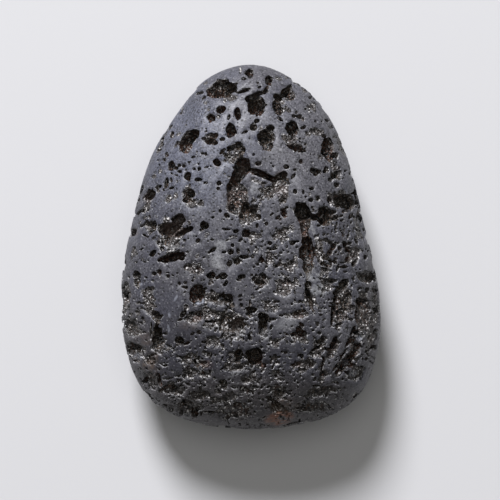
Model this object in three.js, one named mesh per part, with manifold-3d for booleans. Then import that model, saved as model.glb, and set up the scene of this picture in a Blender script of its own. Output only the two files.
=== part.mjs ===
// A tumbled lava rock: one pebble of dark vesicular basalt, lying on its flattest side.
// Millimetres, +Z up. +Y runs along the pebble towards its narrow end.
// The origin is the centre of the footprint, on the surface that the pebble rests on.

import * as THREE from "three";
import { mergeVertices } from "three/addons/utils/BufferGeometryUtils.js";
import Module from "manifold-3d";

const wasm = await Module();
wasm.setup();

// Overall size of the pebble.
const LENGTH = 45.6;
const WIDTH = 32.5;
const THICKNESS = 15.5;

// The level where the pebble is widest, and how far its belly would bulge below the
// surface if tumbling had not worn it flat there.
const WAIST_HEIGHT = 6.9;
const WORN_DEPTH = 0.55;

// Exponents of the superellipse section above and below the waist: 2 is round, more is boxier.
const DOME_POWER = 2.3;
const BELLY_POWER = 2.5;

// The crest stands a little off the middle, and the narrow end is a little thinner.
const CREST_SHIFT = new THREE.Vector2(0.5, -1.6);
const NARROW_END_THINNING = 0.1;

// Facets round the pebble and from its crest to its belly.
const MERIDIANS = 54;
const PARALLELS = 22;

// The outline seen from above, anticlockwise from the narrow end.
const OUTLINE = [
  [0.4, 22.8], [-5.9, 20.7], [-9.3, 16.4], [-12.6, 11.2], [-14.7, 4.0], [-16.2, -4.5],
  [-15.8, -12.0], [-12.9, -18.8], [-7.0, -22.0], [0.0, -22.8], [7.6, -22.0], [13.3, -19.1],
  [16.1, -12.6], [16.1, -5.4], [14.5, 2.2], [13.0, 8.2], [10.6, 14.9], [6.6, 20.0],
];

// Gas bubbles opened by wear, as [x, y, long, wide, turn in degrees], grouped by where
// they lie. They are placed on the skin straight below, or above, the point (x, y).
const CREST_VESICLES = [
  // narrow end
  [-3.4, 19.3, 3.4, 2.1, -10], [-1.5, 16.1, 1.8, 0.9, 90], [0.7, 17.5, 3.0, 2.4, 80],
  [-2.3, 14.1, 1.8, 1.4, 90], [2.4, 20.4, 1.6, 1.2, 70], [4.5, 18.9, 2.6, 1.3, 50],
  [3.3, 16.9, 2.3, 1.4, 110], [5.2, 14.4, 2.1, 1.9, 0], [1.9, 13.3, 2.7, 1.8, 80],
  // left shoulder
  [-7.5, 13.0, 2.9, 1.8, 50], [-4.0, 10.2, 1.4, 1.3, 0], [-12.3, 6.3, 1.8, 1.4, 50],
  [-7.3, 6.2, 1.8, 1.5, 90], [-14.4, 1.7, 1.6, 1.1, 20], [-13.9, -4.0, 1.9, 1.3, 100],
  // middle
  [-1.1, 9.3, 3.0, 1.9, 60], [-2.2, 6.8, 2.6, 1.6, 85], [-1.2, 4.4, 2.7, 2.1, 0],
  [1.8, 8.7, 3.2, 1.0, -20], [-5.5, 2.5, 1.5, 1.3, 0], [-1.3, -1.5, 2.1, 1.1, 30],
  [1.2, -4.0, 2.2, 1.8, 0],
  // the torn hollow left of the middle
  [-8.6, 3.2, 1.7, 1.5, 90], [-9.7, 2.0, 2.6, 1.8, 10], [-9.6, -1.4, 3.2, 1.5, 15],
  // the long slit right of the middle, and the pits beside it
  [6.2, 4.2, 2.0, 1.6, 90], [6.6, 1.6, 2.8, 1.3, 90], [6.8, -0.9, 2.9, 1.8, 90],
  [7.0, -3.5, 2.8, 1.0, 90], [9.0, 3.6, 2.1, 2.0, 0], [12.0, 5.4, 2.0, 1.7, 0],
  [9.6, 12.0, 3.0, 1.8, 95],
  // broad end, left
  [-6.4, -5.7, 2.3, 1.6, 80], [-2.9, -6.3, 2.0, 1.4, -15], [-4.1, -3.5, 2.8, 1.0, 5],
  [-1.8, -9.6, 2.2, 1.6, 30], [-11.4, -8.5, 1.5, 1.3, 90], [-11.3, -11.2, 2.3, 1.4, 100],
  [-8.5, -11.4, 1.6, 1.4, 0], [-14.2, -13.0, 2.0, 1.8, 0], [-11.2, -16.5, 1.7, 1.0, 100],
  // broad end, right
  [1.5, -9.0, 2.8, 1.4, 90], [0.4, -13.4, 2.4, 1.9, 95], [11.4, -5.2, 2.4, 1.6, 110],
  [10.9, -8.0, 2.8, 1.6, 75], [13.5, -8.4, 3.2, 1.2, 85], [12.6, -11.6, 2.8, 1.5, 60],
  [11.4, -14.0, 2.4, 1.2, 55], [10.0, -12.0, 2.4, 1.2, 60], [8.0, -12.6, 2.6, 1.2, 35],
  [3.3, -19.4, 1.9, 1.2, -20],
];
const BELLY_VESICLES = [
  [-3.0, 12.5, 2.6, 1.7, 40], [6.2, 9.0, 2.0, 1.5, 120], [-8.8, 5.2, 2.2, 1.4, 75],
  [7.6, -9.2, 2.5, 1.9, 20], [-6.6, -11.8, 2.0, 1.8, 0], [2.2, -15.4, 2.8, 1.4, 160],
];

// Vesicles round the flanks, as [bearing in degrees from +X, height, long, wide, turn].
const FLANK_VESICLES = [
  [20, 7.6, 1.9, 1.4, 20], [64, 6.0, 1.8, 1.3, 100], [110, 6.6, 2.0, 1.4, 0],
  [163, 6.2, 2.2, 1.4, 150], [212, 6.0, 1.9, 1.5, 0], [251, 5.6, 2.3, 1.5, 170],
  [300, 6.4, 2.0, 1.4, 20], [338, 6.6, 2.4, 1.4, 10],
];

// A vesicle is about as deep as it is wide, and its centre lies a little below the skin.
const DEPTH_OVER_MEAN_WIDTH = 0.5;
const SUNK_SHARE = 0.3;
const SIGHT_DISTANCE = 60;

// Points close together on the closed outline curve.
function outlinePoints() {
  const knots = OUTLINE.map(([x, y]) => new THREE.Vector3(x, y, 0));
  const curve = new THREE.CatmullRomCurve3(knots, true, "centripetal");
  return curve.getPoints(40 * OUTLINE.length);
}

// Distance from the origin to the outline point that is nearest a bearing.
function outlineRadius(points, bearing) {
  let best = points[0];
  let bestGap = Infinity;
  for (const point of points) {
    const gap = Math.abs(Math.sin((Math.atan2(point.y, point.x) - bearing) / 2));
    if (gap < bestGap) {
      bestGap = gap;
      best = point;
    }
  }
  return Math.hypot(best.x, best.y);
}

// One vertex of the unit sphere, moved onto the pebble's skin.
function ontoSkin(vertex, outline) {
  const bearing = Math.atan2(vertex.y, vertex.x);
  const level = Math.abs(vertex.z);
  const spread = Math.hypot(vertex.x, vertex.y);
  const above = vertex.z >= 0;
  const power = 2 / (above ? DOME_POWER : BELLY_POWER);
  const radius = outlineRadius(outline, bearing) * Math.pow(spread, power);
  const rise = above ? THICKNESS - WAIST_HEIGHT : -(WAIST_HEIGHT + WORN_DEPTH);
  const y = radius * Math.sin(bearing);
  const thinning = 1 - NARROW_END_THINNING * Math.max(0, (2 * y) / LENGTH);
  const lift = Math.pow(level, power);
  const shift = above ? lift : 0;
  return new THREE.Vector3(
    radius * Math.cos(bearing) + CREST_SHIFT.x * shift * (1 - spread),
    y + CREST_SHIFT.y * shift * (1 - spread),
    WAIST_HEIGHT + rise * lift * thinning,
  );
}

// A geometry with nothing but position, its shared vertices merged.
function welded(geometry) {
  const bare = geometry.clone();
  bare.deleteAttribute("normal");
  bare.deleteAttribute("uv");
  return mergeVertices(bare, 1e-5);
}

// Centres the footprint on the origin and brings it to the exact width and length.
function fitFootprint(geometry) {
  geometry.computeBoundingBox();
  const size = geometry.boundingBox.getSize(new THREE.Vector3());
  const middle = geometry.boundingBox.getCenter(new THREE.Vector3());
  geometry.translate(-middle.x, -middle.y, 0);
  geometry.scale(WIDTH / size.x, LENGTH / size.y, 1);
}

// The pebble before any bubble was opened.
function pebbleGeometry() {
  const outline = outlinePoints();
  const geometry = new THREE.SphereGeometry(1, MERIDIANS, PARALLELS);
  geometry.rotateX(Math.PI / 2);
  const skin = welded(geometry);
  const position = skin.getAttribute("position");
  const vertex = new THREE.Vector3();
  for (let i = 0; i < position.count; i += 1) {
    vertex.fromBufferAttribute(position, i);
    const moved = ontoSkin(vertex, outline);
    position.setXYZ(i, moved.x, moved.y, moved.z);
  }
  fitFootprint(skin);
  skin.computeVertexNormals();
  return skin;
}

function toManifold(geometry) {
  const bare = welded(geometry);
  return new wasm.Manifold(new wasm.Mesh({
    numProp: 3,
    vertProperties: Float32Array.from(bare.getAttribute("position").array),
    triVerts: Uint32Array.from(bare.index.array),
  }));
}

function toGeometry(solid) {
  const mesh = solid.getMesh();
  const geometry = new THREE.BufferGeometry();
  const position = new THREE.BufferAttribute(Float32Array.from(mesh.vertProperties), mesh.numProp);
  geometry.setAttribute("position", position);
  geometry.setIndex(new THREE.BufferAttribute(Uint32Array.from(mesh.triVerts), 1));
  geometry.computeVertexNormals();
  return geometry;
}

// Where a straight line first meets the skin, with the outward normal there.
function meetSkin(skinMesh, from, direction) {
  const hits = new THREE.Raycaster(from, direction).intersectObject(skinMesh);
  return { point: hits[0].point, normal: hits[0].face.normal.clone() };
}

// One opened bubble: an ellipsoid whose short axis stands along the skin's normal.
function bubble(place, long, wide, turn, tangentHint) {
  const depth = DEPTH_OVER_MEAN_WIDTH * Math.sqrt(long * wide);
  const along = tangentHint.clone().projectOnPlane(place.normal).normalize();
  const across = new THREE.Vector3().crossVectors(place.normal, along);
  const centre = place.point.clone().addScaledVector(place.normal, -SUNK_SHARE * depth);
  const geometry = new THREE.IcosahedronGeometry(1, 1);
  geometry.scale(long / 2, wide / 2, depth);
  geometry.rotateZ(THREE.MathUtils.degToRad(turn));
  geometry.applyMatrix4(new THREE.Matrix4().makeBasis(along, across, place.normal));
  geometry.translate(centre.x, centre.y, centre.z);
  return toManifold(geometry);
}

function crestBubbles(skinMesh) {
  const down = new THREE.Vector3(0, 0, -1);
  return CREST_VESICLES.map(([x, y, long, wide, turn]) => {
    const place = meetSkin(skinMesh, new THREE.Vector3(x, y, SIGHT_DISTANCE), down);
    return bubble(place, long, wide, turn, new THREE.Vector3(1, 0, 0));
  });
}

function bellyBubbles(skinMesh) {
  const up = new THREE.Vector3(0, 0, 1);
  return BELLY_VESICLES.map(([x, y, long, wide, turn]) => {
    const place = meetSkin(skinMesh, new THREE.Vector3(x, y, -SIGHT_DISTANCE), up);
    place.point.z = Math.max(place.point.z, 0);
    return bubble(place, long, wide, turn, new THREE.Vector3(1, 0, 0));
  });
}

function flankBubbles(skinMesh) {
  return FLANK_VESICLES.map(([bearing, height, long, wide, turn]) => {
    const angle = THREE.MathUtils.degToRad(bearing);
    const outward = new THREE.Vector3(Math.cos(angle), Math.sin(angle), 0);
    const from = outward.clone().multiplyScalar(SIGHT_DISTANCE).setZ(height);
    const place = meetSkin(skinMesh, from, outward.clone().negate());
    return bubble(place, long, wide, turn, new THREE.Vector3(-outward.y, outward.x, 0));
  });
}

// Everything below the resting surface, worn away.
function wornBlock() {
  const height = 4 * WORN_DEPTH;
  const block = new THREE.BoxGeometry(2 * WIDTH, 2 * LENGTH, height);
  block.translate(0, 0, -height / 2);
  return toManifold(block);
}

function lavaRock() {
  const skin = pebbleGeometry();
  const basalt = new THREE.MeshStandardMaterial({ color: 0x47474c, roughness: 0.5, metalness: 0 });
  const skinMesh = new THREE.Mesh(skin, basalt);
  const bubbles = [...crestBubbles(skinMesh), ...bellyBubbles(skinMesh), ...flankBubbles(skinMesh)];
  let solid = toManifold(skin).subtract(wornBlock());
  for (const opened of bubbles) {
    solid = solid.subtract(opened);
  }
  const rock = new THREE.Mesh(toGeometry(solid), basalt);
  rock.name = "lava_rock";
  return rock;
}

const part = new THREE.Group();
part.add(lavaRock());

export default part;
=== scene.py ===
"""A tumbled lava rock: worn basalt skin, opened gas bubbles and torn hollows.

The stone is carved in a field of voxels. Its skin is the rounded hull of the CAD solid, and its
bubbles are ellipsoids that the tables place, or that a seeded generator scatters.
Lengths in the tables and in the stone's own arithmetic are millimetres; Blender gets metres.
"""

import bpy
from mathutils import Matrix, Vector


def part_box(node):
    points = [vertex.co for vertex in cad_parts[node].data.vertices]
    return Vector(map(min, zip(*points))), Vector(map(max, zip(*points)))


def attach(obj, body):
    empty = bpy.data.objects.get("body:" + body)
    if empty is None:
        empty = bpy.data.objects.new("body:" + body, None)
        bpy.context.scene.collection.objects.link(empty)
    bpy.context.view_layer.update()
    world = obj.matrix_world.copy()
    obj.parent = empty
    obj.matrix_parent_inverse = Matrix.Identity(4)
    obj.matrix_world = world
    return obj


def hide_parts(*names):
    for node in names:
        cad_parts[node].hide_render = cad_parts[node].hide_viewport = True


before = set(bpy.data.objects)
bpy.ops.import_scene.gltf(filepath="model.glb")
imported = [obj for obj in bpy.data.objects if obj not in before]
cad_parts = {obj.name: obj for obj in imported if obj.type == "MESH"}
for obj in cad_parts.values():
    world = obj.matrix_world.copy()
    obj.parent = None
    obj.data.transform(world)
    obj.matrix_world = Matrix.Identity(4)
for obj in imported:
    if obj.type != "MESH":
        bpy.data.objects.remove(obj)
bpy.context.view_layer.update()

import math
from collections import namedtuple

import bmesh
import bpy
import numpy as np
import openvdb
from mathutils import Vector

MM = 0.001
NODE = "lava_rock"
SEED = 11

# The field that the stone is carved in, and the mesh made from it, which stays FIT_MARGIN inside
# its CAD box. The skin is worked out on a coarser grid first, with SKIN_STEPS voxels to its step.
VOXEL = 0.09
MARGIN_VOXELS = 6
SKIN_STEPS = 4
SKIN_PADDING = 8
POINTS_AT_ONCE = 20000
MESH_TRIANGLES = 197000
SHARP_DEGREES = 50
FIT_MARGIN = 0.05

# How far the hull is rounded, and how its skin swells (wavelength, height), fully so from a
# height of SWELL_FULL up, so that the underside stays flat.
SKIN_ROUNDING = 0.9
SKIN_SWELL = ((13.0, 0.26), (6.5, 0.13), (2.6, 0.05))
SWELL_FULL = 3.0

# The crest is domed: towards the outline it is taken down by up to CROWN, from the height of
# CROWN_START up and fully so after another CROWN_REACH.
CROWN = 1.3
CROWN_START = 7.0
CROWN_REACH = 7.0

# How softly dents and bubbles' rims meet the skin.
DENT_EASE = 0.6
RIM_WEAR = 0.09

# The noise (wavelength, share) that roughens the bubbles' walls, more in wider bubbles, but no
# more in any over ROUGH_WIDEST, and the most times its own height that it can move a wall.
ROUGHNESS = ((2.0, 0.30), (0.9, 0.28), (0.34, 0.42))
ROUGH_WIDEST = 1.6
ROUGH_REACH = 2.5

# The random values that noise is made from spread this far, as smoothing draws them together.
NOISE_SPREAD = 2.4

# How a kind of bubble sits in the skin. Its depth half-axis is depth times the mean of its
# opening's sides to a power, sunk is the share of that half-axis that its centre lies under the
# skin, ragged roughens its wall, and blisters is how many smaller ones open from each square mm.
Kind = namedtuple("Kind", "depth power sunk ragged blisters")
HOLLOW = Kind(depth=0.85, power=0.80, sunk=0.40, ragged=0.30, blisters=5.0)
DISH = Kind(depth=0.34, power=0.7, sunk=-0.20, ragged=0.22, blisters=3.0)
TEAR = Kind(depth=0.26, power=0.6, sunk=-0.15, ragged=0.42, blisters=3.2)
TRENCH = Kind(depth=1.05, power=0.80, sunk=0.30, ragged=0.28, blisters=4.0)
PIN = Kind(depth=0.80, power=0.9, sunk=0.40, ragged=0.22, blisters=0.0)
PIN_GROWTH = 1.15

# Blisters in a bubble's wall: their radii, how ragged they are, and how near its mouth they open.
BLISTER_RADII = (0.11, 0.26)
BLISTER_RAGGED = 0.15
BLISTER_TOP = 0.45

# Random bubbles where the skin's normal rises less than CREST_EDGE, as (tries, smallest, largest,
# kind). A bias over 1 makes the small ones commoner. Shapes are widths as shares of lengths.
SCATTERED = ((150, 1.2, 3.4, TEAR), (620, 0.5, 2.3, HOLLOW), (6500, 0.18, 0.55, PIN))
SCATTER_BIAS = 1.6
SCATTER_SHAPES = (0.55, 1.0)
CREST_EDGE = 0.25

# Fine pits on the crest: a factor on their number, the smallest, how many times longer the longest
# may be, their shapes, and how evenly they lie in a patch.
PEPPER = 0.95
PEPPER_SMALLEST = 0.16
PEPPER_RANGE = 2.6
PEPPER_SHAPES = (0.5, 1.0)
PEPPER_SPREAD = (0.8, 1.15)

# A place off the stone is pulled towards the middle in these steps until it meets the stone.
PULLS = np.linspace(1.0, 0.85, 40)

# How far out, and how finely, a ray from the middle looks for the skin.
RAY_LENGTH = 30.0
RAY_STEP = 0.05

# The hull's faces under SLIVER in area are left out, a bubble in plan is stretched as if the
# skin's normal rose by at least STEEPEST, UPWARDS is near upright but along no normal, and TINY
# keeps a divisor from being nought.
SLIVER = 1e-4
STEEPEST = 0.4
UPWARDS = (0.31, 0.17, 0.94)
TINY = 1e-6

# Colours of the skin and its painted light and shade, of the bubbles' walls, foam and painted glints,
# of the painted highlight on their rims, and of the stains and the painted highlights among them.
SKIN_COOL = (0.055, 0.057, 0.076, 1.0)
SKIN_WARM = (0.060, 0.058, 0.067, 1.0)
# SKIN_BLUE is a painted bluish reflection and SKIN_LIGHT painted light where TONES lays them; SKIN_DEEP
# is painted shade there and darkens fine grain elsewhere.
SKIN_BLUE = (0.084, 0.091, 0.124, 1.0)
SKIN_LIGHT = (0.093, 0.091, 0.100, 1.0)
SKIN_DEEP = (0.025, 0.024, 0.031, 1.0)
SKIN_DARK = (0.036, 0.035, 0.040, 1.0)
SKIN_PALE = (0.170, 0.170, 0.185, 1.0)
WALL_BLACK = (0.006, 0.006, 0.006, 1.0)
WALL_BROWN = (0.056, 0.042, 0.030, 1.0)
WALL_RED = (0.070, 0.034, 0.022, 1.0)
WALL_GREY = (0.150, 0.143, 0.138, 1.0)
# The next colour is that of painted glints on the bubbles' walls.
WALL_GLINT = (0.520, 0.505, 0.490, 1.0)
FOAM_DARK = (0.014, 0.012, 0.011, 1.0)
FOAM_GREY = (0.080, 0.074, 0.073, 1.0)
# The next colour is used for pale grit on the skin and for the painted highlight on the bubbles' rims.
PALE_GRIT_AND_RIM_HIGHLIGHT = (0.430, 0.428, 0.435, 1.0)
# The next colour darkens and browns the skin towards the bottom and side edges.
DARK_BROWNISH = (0.052, 0.045, 0.043, 1.0)
RUST = (0.230, 0.085, 0.035, 1.0)
BROWN = (0.085, 0.058, 0.040, 1.0)
DUST = (0.120, 0.088, 0.078, 1.0)
HAZE = (0.300, 0.305, 0.310, 1.0)
# The next colour paints highlights: glints on bubbles' rims and bright floors, and a few pale specks.
BLUE_WHITE = (0.330, 0.350, 0.400, 1.0)

# Sizes of the material's lumps, chips and specks.
BROAD = 5.0
MIDDLE = 0.9
FINE = 0.22
CHIP = 0.19
PRICK = 0.50
GRIT = 0.16
WALL_CELLS = (0.26, 0.55)

# Depths under the skin between which the skin gives way to a bubble's wall, the wall's dull foam
# gives way to glass, its painted glints grow rarer, and its painted rim highlight comes and goes.
WALL_FROM = (0.06, 0.16)
GLASS_FROM = (0.25, 0.75)
GLINTS_UNTIL = (0.35, 0.75)
RIM_FROM = (0.02, 0.05)
RIM_UNTIL = (0.13, 0.28)

# The heights of the bumps on the walls and on the skin.
WALL_BUMP = 0.17
SKIN_BUMP = 0.08

# The lower part of the crest, as (x, y, long, wide), where the skin's pale tops are duller.
DULLER = (0.0, -13.0, 32.0, 20.0)
ANY_HEIGHT = 1e6
MIX_TYPES = {"Color": "RGBA", "Float": "FLOAT"}

# Lights, in metres and watts: (name, place, size, watts, tint). They aim at the stone's middle.
LIGHTS = (
    ("key", (-0.25, 0.90, 0.75), 0.40, 26.0, (0.95, 0.95, 1.0)),
    ("fill", (0.0, 0.25, 1.5), 1.25, 5.0, (1.0, 0.99, 0.97)),
)
AIM = (0, 0, 0.008)
WORLD_LIGHT = 0.12
FLOOR_SIZE = 2.0
FLOOR_GREY = (0.55, 0.55, 0.55, 1)

# The picture's width and middle at the level of the stone's widest outline.
PICTURE_WIDTH = 62.5
PICTURE_LEVEL = 6.9
PICTURE_MIDDLE = (-0.125, -0.375)
SENSOR = 36.0
LENS = 200.0

# Painted light and shade on the skin: a bluish painted reflection (SKIN_BLUE) and painted light
# (SKIN_LIGHT) towards the narrow end, painted shade (SKIN_DEEP) over the middle and lower part,
# lighter patches on the right, and a darker, browner tone towards the bottom and side edges, as
# (colour, share, x, y, long, wide), seen from straight above, with a turn in degrees after that
# where the place isn't square with the picture.
TONES = (
    (SKIN_BLUE, 0.75, -7, 12, 12, 15), (SKIN_LIGHT, 0.75, 7.5, 11, 9, 17),
    (SKIN_LIGHT, 0.35, 13.5, -3, 4, 10), (SKIN_DEEP, 0.5, 0, -4, 26, 13),
    (SKIN_DEEP, 0.85, 0, -10.5, 16, 10), (SKIN_DEEP, 0.85, -9.5, -13, 11, 10),
    (SKIN_DEEP, 0.5, 0, -16.5, 18, 6), (SKIN_LIGHT, 0.65, 11, -11, 6, 9),
    (DARK_BROWNISH, 0.8, 0, -20, 34, 8), (DARK_BROWNISH, 0.6, -15, -11, 6, 12, 20),
    (DARK_BROWNISH, 0.6, 15.5, -9, 4, 16),
)

# Stained and pale places on the crest, over skin and bubbles alike, in the same rows. The BLUE_WHITE
# rows are painted highlights, glints on bubbles' rims and bright floors, with a few pale specks.
STAINS_AND_GLINTS = (
    (RUST, 0.7, 3.5, -21.2, 3.4, 1.8, 10), (BROWN, 0.6, -12.5, -15, 2.4, 1.6, 120),
    (BROWN, 0.6, 4, -19.5, 4, 1.8), (BROWN, 0.5, -12, -13.8, 1.8, 1.2, 60),
    (BROWN, 0.35, -13, -11.3, 2.6, 1.6), (BROWN, 0.2, -7.6, -9.6, 2.6, 1.2),
    (HAZE, 0.5, -3.7, 0.1, 1.4, 1.5), (HAZE, 0.45, -4.2, -1.7, 1.6, 1.8, -30),
    (HAZE, 0.35, -3.6, -2.4, 1.2, 0.8), (HAZE, 0.5, 7.6, -3.6, 1.6, 1.3),
    (HAZE, 0.5, 8.2, -5.3, 1.9, 1.6), (BLUE_WHITE, 0.35, -9.2, -6.3, 0.9, 0.3, 60),
    (HAZE, 0.35, 1.8, -10.7, 1.2, 1.4, 60), (HAZE, 0.35, -1.4, -10.6, 1.6, 0.8, 35),
    (HAZE, 0.2, 4.5, -9.4, 3, 1.6, 20), (HAZE, 0.35, 0.5, 7.1, 1.2, 1.8),
    (HAZE, 0.4, 7.8, 1.5, 2.8, 0.4, 110), (HAZE, 0.3, -1.8, -15.5, 2.4, 0.5, 25),
    (HAZE, 0.45, -9.4, 0, 1.3, 1.3), (DUST, 0.65, -9.7, 2.2, 2.6, 1.7, 10),
    (DUST, 0.65, -8.2, 1.8, 2.2, 0.8, 25), (DUST, 0.45, -8.6, 3.3, 1.3, 1.3),
    (DUST, 0.35, -8.8, -1.2, 1.6, 0.9, 20), (DUST, 0.4, -4.1, 10.2, 1.1, 1.1),
    (DUST, 0.35, -1, 9.5, 2.6, 1.2, 60), (DUST, 0.4, 0.5, -13.5, 1.7, 1.7),
    (DUST, 0.4, 6.4, 2.2, 2.8, 0.9, 90), (DUST, 0.4, -2.6, 5.8, 0.9, 2.6),
    (DUST, 0.4, 3.7, 8.8, 1.6, 1, 20), (DUST, 0.35, 3.6, 6.8, 1.8, 1.6),
    (DUST, 0.4, -12.6, 6.2, 1.8, 1.2, 40), (DUST, 0.4, -14.5, 1.8, 1.2, 1),
    (DUST, 0.45, -1.7, -9.4, 1.6, 1.2, 50), (BLUE_WHITE, 0.5, -14, -13.6, 1.2, 0.9),
    (BLUE_WHITE, 0.5, 13.3, -11.4, 1.2, 0.9, 60), (BLUE_WHITE, 0.4, 12.6, -15.6, 1, 0.8),
    (BLUE_WHITE, 0.4, 11.6, -14.3, 1, 0.7, 50), (BLUE_WHITE, 0.35, -10, -8.3, 0.7, 0.3, 100),
    (BLUE_WHITE, 0.35, -10.1, -10, 0.9, 0.3, 95), (BLUE_WHITE, 0.5, -13.6, -4.6, 0.5, 0.4),
    (BLUE_WHITE, 1, -5.7, -6.3, 1.2, 0.3, 65), (BLUE_WHITE, 1, -6.2, -6.85, 1.1, 0.3, 10),
    (BLUE_WHITE, 1, -3.65, -6.3, 0.4, 0.3), (RUST, 0.08, 5.6, -8.4, 1.6, 0.9),
    (RUST, 0.15, -5.4, -14.4, 1.5, 1), (RUST, 0.15, 5.4, -14.4, 1.4, 0.9),
    (RUST, 0.12, -6.6, -8.8, 1.4, 0.7),
)

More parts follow.
